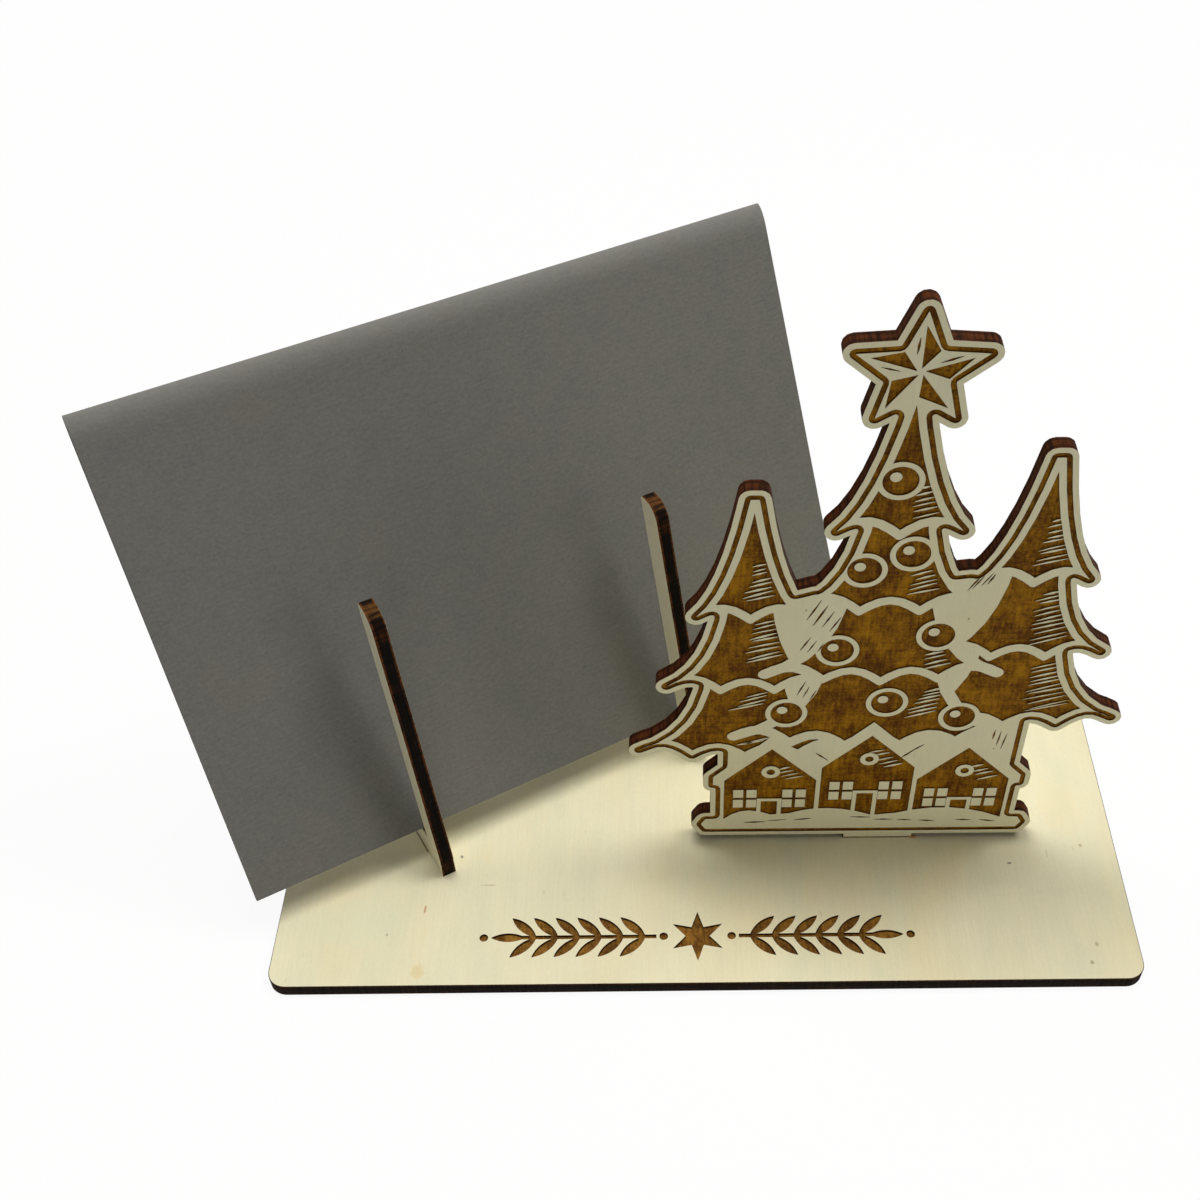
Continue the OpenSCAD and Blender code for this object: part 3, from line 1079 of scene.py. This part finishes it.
@dataclass
class Fork:
    """An upright: a foot with a tab, a front prong, the card's slot and a rear rest."""

    name: str
    node: str
    middle: Pair
    tall: float = 64.0
    foot_long: float = 31.0
    foot_rise: float = 5.6
    reach: float = 8.8
    lean: float = 15.7
    prong: float = 5.9
    floor: float = 6.4
    rest_lean: float = 26.4896
    rest_at: float = 1.2733
    tab: float = 15.0
    chamfer: float = 0.14
    foot_round: float = 8.0
    tip_round: float = 4.0
    lip_round: float = 0.8
    slot_round: float = 0.5
    grain: float = -24.0

    @property
    def to_world(self) -> Matrix:
        """The fork's place.

        Returns:
            A frame whose x goes back, y up and z across the sheet, out of its right face.
        """
        angle = math.radians(FORK_TURN)
        across = Vector((math.cos(angle), math.sin(angle), 0.0))
        back = Vector((-math.sin(angle), math.cos(angle), 0.0))
        face = Vector((*self.middle, PLY)) + across * PLY / 2
        matrix = Matrix((back, Vector((0.0, 0.0, 1.0)), across)).transposed().to_4x4()
        return Matrix.Translation(face * MM) @ matrix

    def build(self) -> list[bpy.types.Object]:
        """Builds and dresses the fork.

        Returns:
            The finished piece, in a list.
        """
        fork = self._outline()
        self._round(fork)
        fork.soften(self.chamfer, TINY)
        place = self.to_world
        edge = CharredEdge(
            "charred_" + self.name,
            veneer=(0.105, 0.034, 0.008),
            core=(0.0030, 0.0022, 0.0015),
            soot=(0.0020, 0.0015, 0.0010),
            toasted=(Fleck(10.0, 63.6, 2.4, 1.3, (0.170, 0.070, 0.018), 0.55),),
        )
        face = BirchFace("birch_" + self.name, cream=(0.78, 0.735, 0.55))
        materials = [face.dress(place @ turned(self.grain)), edge.dress(place)]
        obj = fork.dressed(place, materials, lambda f: 0 if abs(f.normal.z) > FACING else 1, flat=True)
        return [fit_out(obj, Body.STAND, Slot.UPRIGHT, self.node)]

    def _slant(self, rise: float) -> float:
        """How far back a prong's edge goes over a height."""
        return rise * slope(self.lean)

    def _outline(self) -> Workpiece:
        """Draws the prongs up and the tab down from a block that is the foot.

        Returns:
            The fork, with sharp corners.
        """
        back = self.foot_long - self.reach
        shoulder = self.floor - self.foot_rise
        slot_front = -self.reach + self._slant(shoulder) + self.prong / math.cos(math.radians(self.lean))
        rise = self.tall - self.floor
        lift = (self._slant(rise), rise, 0.0)
        fork = Workpiece.block(self.name, (-self.reach, 0.0, -PLY), (back, self.foot_rise, 0.0))
        self._draw(fork, Side.TOP, everything, (self._slant(shoulder), shoulder, 0.0))
        self._split(fork, Side.TOP, (slot_front, self.rest_at))
        self._draw(fork, Side.TOP, lambda p: p.x < slot_front, lift)
        self._draw(fork, Side.TOP, lambda p: p.x > self.rest_at and p.y < self.tall / 2, lift)
        rest_top = self.rest_at + lift[0]
        narrow = rise * (slope(self.rest_lean) - slope(self.lean))
        fork.edit(
            Pick.VERTS,
            lambda v: abs(v.co.x - rest_top) < NEAR and v.co.y > self.tall - TINY,
            bpy.ops.transform.translate,
            value=(narrow, 0.0, 0.0),
        )
        tab_from = (back - self.reach - self.tab) / 2
        middle = tab_from + self.tab / 2
        self._split(fork, Side.UNDERSIDE, (tab_from, tab_from + self.tab))
        self._draw(fork, Side.UNDERSIDE, lambda p: abs(p.x - middle) < self.tab / 4, (0.0, -PLY, 0.0))
        return fork

    def _split(self, fork: Workpiece, side: Side, places: Pair) -> None:
        """Splits the faces of a side across the sheet.

        Args:
            fork: the fork.
            side: the side.
            places: where they are split.
        """
        for place in places:
            plane = {"plane_co": (place, 0.0, 0.0), "plane_no": (1.0, 0.0, 0.0)}
            fork.edit(Pick.FACES, lambda f: f.normal.y * side.value > FACING, bpy.ops.mesh.bisect, **plane)

    def _draw(self, fork: Workpiece, side: Side, here: Callable[[Vector], bool], shift: Triple) -> None:
        """Draws out some of the faces of a side.

        Args:
            fork: the fork.
            side: the side.
            here: says whether a face with that middle is drawn out.
            shift: how far it goes.
        """
        fork.edit(
            Pick.FACES,
            lambda f: f.normal.y * side.value > FACING and here(fork.centre(f)),
            bpy.ops.mesh.extrude_region_move,
            TRANSFORM_OT_translate={"value": shift},
        )

    def _round(self, fork: Workpiece) -> None:
        """Rounds the corners of the outline.

        Args:
            fork: the fork.
        """
        back = self.foot_long - self.reach
        rise = self.tall - self.foot_rise
        front_top = -self.reach + self._slant(rise)
        slot_top = front_top + self.prong / math.cos(math.radians(self.lean))
        slot_front = slot_top - self._slant(self.tall - self.floor)
        rest_top = self.rest_at + (self.tall - self.floor) * slope(self.rest_lean)
        for across, along, radius, inside in (
            (-self.reach, self.foot_rise, self.foot_round, 180.0 - self.lean),
            (back, self.foot_rise, self.foot_round, 180.0 - self.lean),
            (front_top, self.tall, self.tip_round, 90.0 + self.lean),
            (slot_top, self.tall, self.lip_round, 90.0 - self.lean),
            (rest_top, self.tall, self.lip_round, 90.0 + self.rest_lean),
            (back + self._slant(rise), self.tall, self.tip_round, 90.0 - self.lean),
            (slot_front, self.floor, self.slot_round, 90.0 + self.lean),
            (self.rest_at, self.floor, self.slot_round, 90.0 - self.rest_lean),
        ):
            fork.round_corner(across, along, radius, inside)


@dataclass(frozen=True)
class Hatch:
    """A group of slanting strokes, listed by the point where the first one ends at the right."""

    across: float
    up: float
    step: Pair
    count: int
    first: float
    last: float
    slant: float = 17.0
    long_play: Pair = (-0.7, 0.7)
    across_play: Pair = (-0.2, 0.4)
    up_play: Pair = (-0.2, 0.2)
    wide_play: Pair = (0.75, 1.25)
    turn_play: Pair = (-3.0, 3.0)

    def places(self, dice: random.Random, wide: float) -> list[Matrix]:
        """Where a lens one unit long and wide goes for each stroke.

        Args:
            dice: the source of the strokes' small differences.
            wide: how wide a stroke is.

        Returns:
            A matrix for each stroke.
        """
        found, gaps = [], max(1, self.count - 1)
        for i in range(self.count):
            long = self.first + (self.last - self.first) * i / gaps + dice.uniform(*self.long_play)
            x = self.across + self.step[0] * i + dice.uniform(*self.across_play)
            y = self.up + self.step[1] * i + dice.uniform(*self.up_play)
            size = Matrix.Diagonal((long, wide * dice.uniform(*self.wide_play), 1.0, 1.0))
            turn = turned(self.slant + dice.uniform(*self.turn_play))
            back = Matrix.Translation((-0.5 * long, 0.0, 0.0))
            found.append(Matrix.Translation((x, y, 0.0)) @ turn @ back @ size)
        return found


@dataclass
class WinterPanel:
    """The engraved panel: fir trees behind a row of small houses."""

    middle: float = 34.0
    front: float = -13.4
    ground: float = 6.3
    engraved: float = 0.3
    char_line: float = 0.12
    stroke_deep: float = 0.29
    stroke_wide: float = 0.42
    sliver_wide: float = 0.5
    sliver_top: float = -0.03
    lens_wide: float = 0.12
    lens_sides: int = 32
    seed: int = 24
    above: float = 1.0

    @property
    def to_world(self) -> Matrix:
        """The panel's place: x goes right, y goes up and z comes out of its front face."""
        turn = Matrix.Rotation(math.radians(90.0), 4, "X")
        return Matrix.Translation((self.middle * MM, self.front * MM, self.ground * MM)) @ turn

    def build(self) -> list[bpy.types.Object]:
        """Builds and dresses the panel, the char in its pockets and the slivers that were left standing.

        Returns:
            The finished pieces.
        """
        place = self.to_world
        to_local = Matrix.Scale(1.0 / MM, 4) @ place.inverted()
        panel = Workpiece.copy_of("winter_panel", frame["nodes"]["front_panel"], to_local)
        rims = scorch_line(panel, "panel_scorch", -self.engraved, self.char_line)
        dice = random.Random(self.seed)
        snow = self._places(SNOW_STROKES, dice, self.stroke_wide)
        panel.cut(self._strokes("strokes", snow, -self.stroke_deep, self.above))
        boughs = self._places(BOUGH_HATCHES, dice, self.sliver_wide)
        slivers = self._strokes("panel_hatching", boughs, -self.engraved, self.sliver_top)
        finishes = (
            BirchFace(
                "birch_panel",
                cream=(0.80, 0.757, 0.512),
                warm=(0.775, 0.718, 0.455),
                cool=(0.745, 0.722, 0.49),
                flecks=PANEL_FLECKS,
            ),
            CharredEdge(
                "charred_panel",
                veneer=(0.068, 0.016, 0.004),
                core=(0.078, 0.021, 0.005),
                soot=(0.008, 0.003, 0.001),
            ),
            BurntPocket("burnt_panel", self.engraved),
            ScorchRim("scorch_panel"),
        )
        birch, edge, pocket, char = [finish.dress(place) for finish in finishes]
        faces = [birch, edge, pocket]
        hatching = slivers.dressed(place, [birch, pocket], lambda face: 0 if face.normal.z > FACING else 1)
        obj = panel.dressed(place, faces, lambda face: self._finish_of(panel, face), flat=True)
        return [
            fit_out(rims.dressed(place, [char]), Body.STAND, Slot.PANEL),
            fit_out(hatching, Body.STAND, Slot.PANEL),
            fit_out(obj, Body.STAND, Slot.PANEL, "front_panel"),
        ]

    def _places(self, groups: Sequence[Hatch], dice: random.Random, wide: float) -> list[Matrix]:
        """The places of the strokes in some groups."""
        return [place for group in groups for place in group.places(dice, wide)]

    def _strokes(self, name: str, places: Sequence[Matrix], low: float, high: float) -> Workpiece:
        """Pointed strokes, as one workpiece.

        Args:
            name: its name.
            places: where a lens one unit long and wide goes for each of them.
            low: the level of their undersides.
            high: the level of their tops.

        Returns:
            The strokes.
        """
        lens = Workpiece.lens("stroke", 1.0, self.lens_wide, low, high, self.lens_sides)
        unit = Matrix.Diagonal((1.0, 1.0 / self.lens_wide, 1.0, 1.0))
        strokes = [lens.twin(place @ unit) for place in places]
        bpy.data.objects.remove(lens.obj, do_unlink=True)
        return Workpiece.joined(name, strokes)

    def _finish_of(self, panel: Workpiece, face: object) -> int:
        """Which of veneer, charred edge and burnt pocket a face is.

        Args:
            panel: the panel.
            face: one of its faces.

        Returns:
            The finish's index.
        """
        if panel.is_veneer(face):
            return 0
        return 2 if abs(face.normal.z) > FACING or panel.centre(face).z > -self.engraved else 1


@dataclass
class FoldedCard:
    """The folded card: a front leaf, a soft fold and a rear leaf, in one sheet of paper."""

    wide: float = 148.0
    tall: float = 105.0
    paper: float = 0.4
    fold_thick: float = 3.8
    fold_tall: float = 5.0
    fold_steps: int = 14
    stack: float = 1.2
    lean: float = 25.0
    shift: float = 4.0
    edge_up: float = 7.2071
    columns: int = 37
    rows: int = 25

    @property
    def to_world(self) -> Matrix:
        """The card's place.

        Returns:
            A frame whose x goes along the lower edge, y up the front leaf and z out of its front.
        """
        foot = Matrix.Translation([part * MM for part in (*FORK_MIDDLE, PLY)])
        edge = Matrix.Translation((self.shift * MM, 0.0, self.edge_up * MM))
        upright = Matrix.Rotation(math.radians(90.0 - self.lean), 4, "X")
        return foot @ turned(FORK_TURN) @ edge @ upright

    def build(self) -> list[bpy.types.Object]:
        """Builds and dresses the card.

        Returns:
            The finished piece, in a list.
        """
        straight = self.tall - self.fold_tall
        counts = {"x_subdivisions": self.columns, "y_subdivisions": self.rows}
        grid = {"size": 1.0, "location": (0.0, 0.5, 0.0), **counts}
        card = Workpiece.added("paper_card", bpy.ops.mesh.primitive_grid_add, **grid)
        card.moved(Matrix.Diagonal((self.wide, straight, 1.0, 1.0)))
        self._fold(card, straight)
        card.modify("SOLIDIFY", thickness=self.paper, offset=-1.0)
        place = self.to_world
        obj = card.dressed(place, [GreyCard("grey_card").dress(place)])
        return [fit_out(obj, Body.CARD, Slot.CARD, "folded_card")]

    def _fold(self, card: Workpiece, straight: float) -> None:
        """Spins the leaf's top edge over to the back, raises the fold and draws the rear leaf down.

        Args:
            card: the card, which has its front leaf.
            straight: how tall that leaf is.
        """
        middle = (0.0, straight, -self.fold_thick / 2)
        card.edit(
            Pick.EDGES,
            lambda e: all(p.y > straight - TINY for p in card.corners(e)),
            bpy.ops.mesh.spin,
            steps=self.fold_steps,
            angle=math.pi,
            center=middle,
            axis=(1.0, 0.0, 0.0),
        )
        rise = {"value": (1.0, self.fold_tall / (self.fold_thick / 2), 1.0), "center_override": middle}
        card.edit(Pick.VERTS, lambda v: v.co.y > straight + TINY, bpy.ops.transform.resize, **rise)
        card.edit(
            Pick.EDGES,
            lambda e: all(p.z < -self.fold_thick + TINY for p in card.corners(e)),
            bpy.ops.mesh.extrude_region_move,
            TRANSFORM_OT_translate={"value": (0.0, -straight, self.fold_thick - self.stack)},
        )
        card.edit(Pick.VERTS, everything, bpy.ops.mesh.remove_doubles, threshold=TINY)
        card.edit(Pick.FACES, everything, bpy.ops.mesh.normals_make_consistent, inside=False)
        front = min(card.obj.data.polygons, key=lambda f: card.centre(f).y + abs(card.centre(f).z))
        if front.normal.z < 0:
            card.edit(Pick.FACES, everything, bpy.ops.mesh.flip_normals)


@dataclass
class GlueBead:
    """A smear of glue that was squeezed out at the right end of the panel's tab."""

    centre: Triple = (45.8, -13.45, 3.05)
    size: Triple = (2.2, 0.8, 0.4)
    segments: int = 24
    rings: int = 12
    tail_from: float = 0.2
    tail: Triple = (1.25, 0.6, 0.7)
    sunk: float = 0.3

    def build(self) -> list[bpy.types.Object]:
        """Builds and dresses the bead.

        Returns:
            The finished piece, in a list.
        """
        ball = {"segments": self.segments, "ring_count": self.rings, "radius": 0.5, "scale": self.size}
        bead = Workpiece.added("glue_bead", bpy.ops.mesh.primitive_uv_sphere_add, **ball)
        tail_x = -self.size[0] * self.tail_from
        tail = {"value": self.tail, "center_override": (tail_x, 0.0, 0.0)}
        bead.edit(Pick.VERTS, lambda v: v.co.x < tail_x, bpy.ops.transform.resize, **tail)
        board = {"plane_co": (0.0, 0.0, -self.size[2] * self.sunk), "plane_no": (0.0, 0.0, 1.0)}
        bead.edit(Pick.VERTS, everything, bpy.ops.mesh.bisect, clear_inner=True, use_fill=True, **board)
        place = Matrix.Translation(Vector(self.centre) * MM)
        obj = bead.dressed(place, [AmberGlue("amber_glue").dress(place)])
        return [fit_out(obj, Body.STAND, Slot.PANEL)]


# --- the studio


@dataclass(frozen=True)
class Lamp:
    """A round lamp, with its place and diameter in millimetres and its power in watts."""

    name: str
    place: Triple
    size: float
    power: float
    colour: Triple
    aim: Triple = (0.0, 0.0, 30.0)

    def hang(self) -> None:
        """Hangs the lamp so that it points at the object."""
        data = bpy.data.lights.new(self.name, "AREA")
        data.shape = "DISK"
        data.size = self.size * MM
        data.energy = self.power
        data.color = self.colour
        lamp = bpy.data.objects.new(self.name, data)
        bpy.context.collection.objects.link(lamp)
        lamp.location = Vector(self.place) * MM
        lamp.visible_camera = False
        aim = Vector([part * MM for part in self.aim]) - lamp.location
        lamp.rotation_euler = aim.to_track_quat("-Z", "Y").to_euler()


@dataclass
class Studio:
    """A white floor, three softboxes above and behind, and two low fill lamps."""

    sky: float = 0.02
    sky_tint: Triple = (1.0, 0.985, 0.955)
    white: Triple = (1.0, 1.0, 1.0)
    floor_wide: float = 6000.0
    floor_grey: float = 0.8
    floor_seen: float = 0.97
    floor_glow: float = 0.93
    floor_fade: Pair = (250.0, 1100.0)
    lamps: tuple[Lamp, ...] = (
        Lamp("softbox_back", (-54.0, 202.0, 936.0), 420.0, 4.0, (1.0, 0.99, 0.965)),
        Lamp("softbox_left", (-334.0, 281.0, 851.0), 380.0, 1.9, (1.0, 0.99, 0.965)),
        Lamp("softbox_right", (430.0, 120.0, 845.0), 380.0, 3.5, (1.0, 0.99, 0.965)),
        Lamp("fill_front", (-80.0, -905.0, 223.0), 520.0, 0.85, (1.0, 0.985, 0.95)),
        Lamp("fill_right", (855.0, -311.0, 223.0), 450.0, 1.6, (1.0, 0.985, 0.95)),
    )

    def build(self) -> None:
        """Builds the sky and the floor, and hangs the lamps."""
        self._world()
        self._floor()
        for lamp in self.lamps:
            lamp.hang()

    def _seen(self, wiring: Wiring) -> Flow:
        """The rays that show the background.

        Args:
            wiring: the tree of the sky or the floor.

        Returns:
            A value that is 1 for those rays and 0 for the others.
        """
        path = wiring.node("ShaderNodeLightPath", {}, {})
        rays = ("Camera", "Glossy", "Transmission")
        seen, *others = (Flow(wiring, path.outputs[f"Is {ray} Ray"]) for ray in rays)
        adding = {"operation": "ADD", "use_clamp": True}
        for other in others:
            seen = wiring.flow("ShaderNodeMath", adding, {0: seen, 1: other})
        return seen

    def _world(self) -> None:
        """A plain sky that lights softly and shows as white."""
        world = bpy.data.worlds.new("studio_sky")
        bpy.context.scene.world = world
        wiring = Wiring(world)
        light = {"Color": (*self.sky_tint, 1.0), "Strength": self.sky}
        white = {"Color": (*self.white, 1.0)}
        first, second = (wiring.flow("ShaderNodeBackground", {}, values) for values in (light, white))
        shown = wiring.flow("ShaderNodeMixShader", {}, {0: self._seen(wiring), 1: first, 2: second})
        wiring.node("ShaderNodeOutputWorld", {}, {"Surface": shown})

    def _floor(self) -> None:
        """A wide floor that keeps the shadows, and shows nearly white by a glow that grows outwards."""
        plane = {"size": self.floor_wide * MM, "location": (0.0, 0.0, 0.0)}
        floor = Workpiece.added("studio_floor", bpy.ops.mesh.primitive_plane_add, **plane).obj
        material = bpy.data.materials.new("studio_floor")
        wiring = Wiring(material)
        seen = self._seen(wiring)
        tones = {"Value": seen, "To Min": self.floor_grey, "To Max": self.floor_seen}
        tone = wiring.flow("ShaderNodeMapRange", {}, tones)
        matt = wiring.flow("ShaderNodeBsdfDiffuse", {}, {"Color": tone})
        glow = wiring.flow("ShaderNodeEmission", {}, {"Color": (*self.white, 1.0)})
        place = wiring.flow("ShaderNodeNewGeometry", {}, {}, "Position")
        away = wiring.flow("ShaderNodeVectorMath", {"operation": "LENGTH"}, {0: place}, "Value")
        near, far = (distance * MM for distance in self.floor_fade)
        fade = {"Value": away, "From Min": near, "From Max": far, "To Min": self.floor_glow, "To Max": 1.0}
        share = seen * wiring.flow("ShaderNodeMapRange", {}, fade)
        shown = wiring.flow("ShaderNodeMixShader", {}, {0: share, 1: matt, 2: glow})
        wiring.node("ShaderNodeOutputMaterial", {}, {"Surface": shown})
        floor.data.materials.append(material)


@dataclass(frozen=True)
class Viewpoint:
    """The photograph's camera, with its place in millimetres, and its focal length and centre in pixels."""

    at: Triple = (-5.354, -212.965, 269.387)
    yaw: float = -1.1238
    pitch: float = 45.9852
    roll: float = 0.4078
    focal: float = 1496.39
    centre: Pair = (700.0, 650.0)
    frame: float = 1200.0
    sensor: float = 36.0
    clip: Pair = (10.0, 20000.0)

    def build(self) -> None:
        """Creates the camera and makes it the scene's."""
        data = bpy.data.cameras.new("camera")
        data.sensor_width = self.sensor
        data.sensor_fit = "HORIZONTAL"
        data.lens = self.focal / self.frame * self.sensor
        data.shift_x = (self.frame / 2 - self.centre[0]) / self.frame
        data.shift_y = (self.centre[1] - self.frame / 2) / self.frame
        data.clip_start, data.clip_end = (distance * MM for distance in self.clip)
        camera = bpy.data.objects.new("camera", data)
        bpy.context.collection.objects.link(camera)
        tilt = Matrix.Rotation(math.radians(90.0 - self.pitch), 4, "X")
        place = Matrix.Translation(Vector(self.at) * MM)
        camera.matrix_world = place @ turned(self.yaw) @ tilt @ turned(self.roll)
        bpy.context.scene.camera = camera


# --- marks and strokes

BASE_FLECKS = (
    Fleck(-53.1, -17.9, 0.45, 0.5, (0.03, 0.02, 0.01)),
    Fleck(-59.6, -31.4, 0.35, 1.3, (0.50, 0.22, 0.10)),
    Fleck(-66.9, -37.7, 0.3, 0.4, (0.25, 0.16, 0.07)),
    Fleck(-59.5, -46.6, 1.9, 2.2, (0.74, 0.60, 0.28), 0.6),
    Fleck(-46.6, -25.4, 2.2, 0.3, (0.50, 0.43, 0.27), 0.5),
    Fleck(66.1, -20.8, 0.6, 0.35, (0.06, 0.04, 0.02)),
    Fleck(81.2, -41.6, 0.5, 0.6, (0.42, 0.34, 0.20)),
    Fleck(79.3, -46.0, 0.6, 0.6, (0.40, 0.32, 0.18)),
    Fleck(82.5, -16.2, 0.5, 0.5, (0.45, 0.32, 0.15)),
    Fleck(80.0, -6.0, 6.0, 9.0, (0.86, 0.72, 0.42), 0.3),
    Fleck(-74.0, -35.0, 14.0, 7.0, (0.70, 0.74, 0.53), 0.3),
)

PANEL_FLECKS = (
    Fleck(-12.9, 53.2, 0.3, 0.3, (0.20, 0.12, 0.05)),
    Fleck(15.2, 64.5, 0.25, 0.4, (0.25, 0.16, 0.07)),
    Fleck(-15.6, 67.0, 0.2, 0.3, (0.30, 0.20, 0.09)),
    Fleck(25.5, 26.5, 0.3, 0.25, (0.22, 0.13, 0.05)),
)

BOUGH_HATCHES = (
    Hatch(12.4, 38.6, (0.10, 1.15), 7, 7.5, 4.0),
    Hatch(13.6, 52.6, (-0.75, 1.05), 4, 6.0, 4.0),
    Hatch(8.7, 72.6, (-0.35, 1.15), 5, 6.5, 4.0),
    Hatch(6.6, 91.0, (-0.45, 1.15), 6, 5.5, 2.5),
    Hatch(-21.3, 70.9, (-0.33, 1.15), 8, 6.5, 2.5),
    Hatch(-19.5, 55.0, (-0.20, 1.20), 9, 7.5, 4.5),
    Hatch(-22.6, 41.0, (0.30, 1.15), 4, 7.5, 5.0),
    Hatch(-20.0, 30.6, (-2.20, -0.75), 3, 4.5, 3.5),
    Hatch(31.3, 79.6, (-0.33, 1.20), 9, 6.5, 2.5),
    Hatch(35.2, 59.8, (-0.36, 1.20), 11, 8.5, 4.5),
    Hatch(38.8, 40.4, (-0.42, 1.20), 11, 9.5, 6.0),
    Hatch(-13.2, 18.0, (-1.15, 1.10), 4, 4.5, 3.0),
    Hatch(7.4, 22.0, (-1.10, 1.15), 5, 4.5, 3.0),
    Hatch(27.8, 18.0, (-1.15, 1.10), 4, 4.5, 3.0),
)

SNOW_STROKES = (
    Hatch(-21.0, 2.6, (5.0, 0.5), 3, 5.0, 4.0, 4.0),
    Hatch(2.0, 3.6, (4.6, -0.4), 4, 5.5, 3.5, -2.0),
    Hatch(24.0, 2.4, (5.5, -0.5), 2, 4.5, 3.5, -7.0),
    Hatch(-12.6, 70.0, (1.25, -1.6), 4, 6.5, 4.5, 63.0),
    Hatch(-14.2, 60.0, (1.20, -1.0), 3, 4.0, 3.0, 63.0),
    Hatch(13.6, 71.5, (1.20, 0.6), 4, 5.0, 3.0, -118.0),
    Hatch(-14.6, 47.4, (1.10, -1.3), 3, 5.0, 3.0, 68.0),
    Hatch(-8.2, 22.8, (-1.20, 1.00), 2, 3.5, 3.0, -44.0),
    Hatch(11.2, 28.4, (-1.40, -1.20), 3, 4.5, 3.0, 44.0),
    Hatch(27.6, 31.6, (-1.30, 0.4), 3, 5.0, 3.5, 84.0),
    Hatch(-3.2, 121.0, (0.0, 0.0), 1, 4.0, 4.0, -17.0),
    Hatch(6.6, 123.9, (0.0, 0.0), 1, 4.0, 4.0, 19.0),
    Hatch(-0.6, 127.6, (0.0, 0.0), 1, 4.0, 4.0, 84.0),
)


def main() -> None:
    """Builds the camera, the studio and the pieces, in order, and reports each piece."""
    logging.basicConfig(level=logging.INFO, format="%(name)s: %(message)s", stream=sys.stdout)
    bpy.context.scene.view_settings.view_transform = "Standard"
    Viewpoint().build()
    Studio().build()
    left, right = fork_feet()
    for maker in (
        Board(fork_feet(TAB_BACK)),
        Fork("left_fork", "left_upright", left),
        Fork("right_fork", "right_upright", right),
        WinterPanel(),
        GlueBead(),
        FoldedCard(),
    ):
        for piece in maker.build():
            LOG.info("%s: %d faces", piece.name, len(piece.data.polygons))


if __name__ == "__main__":
    main()
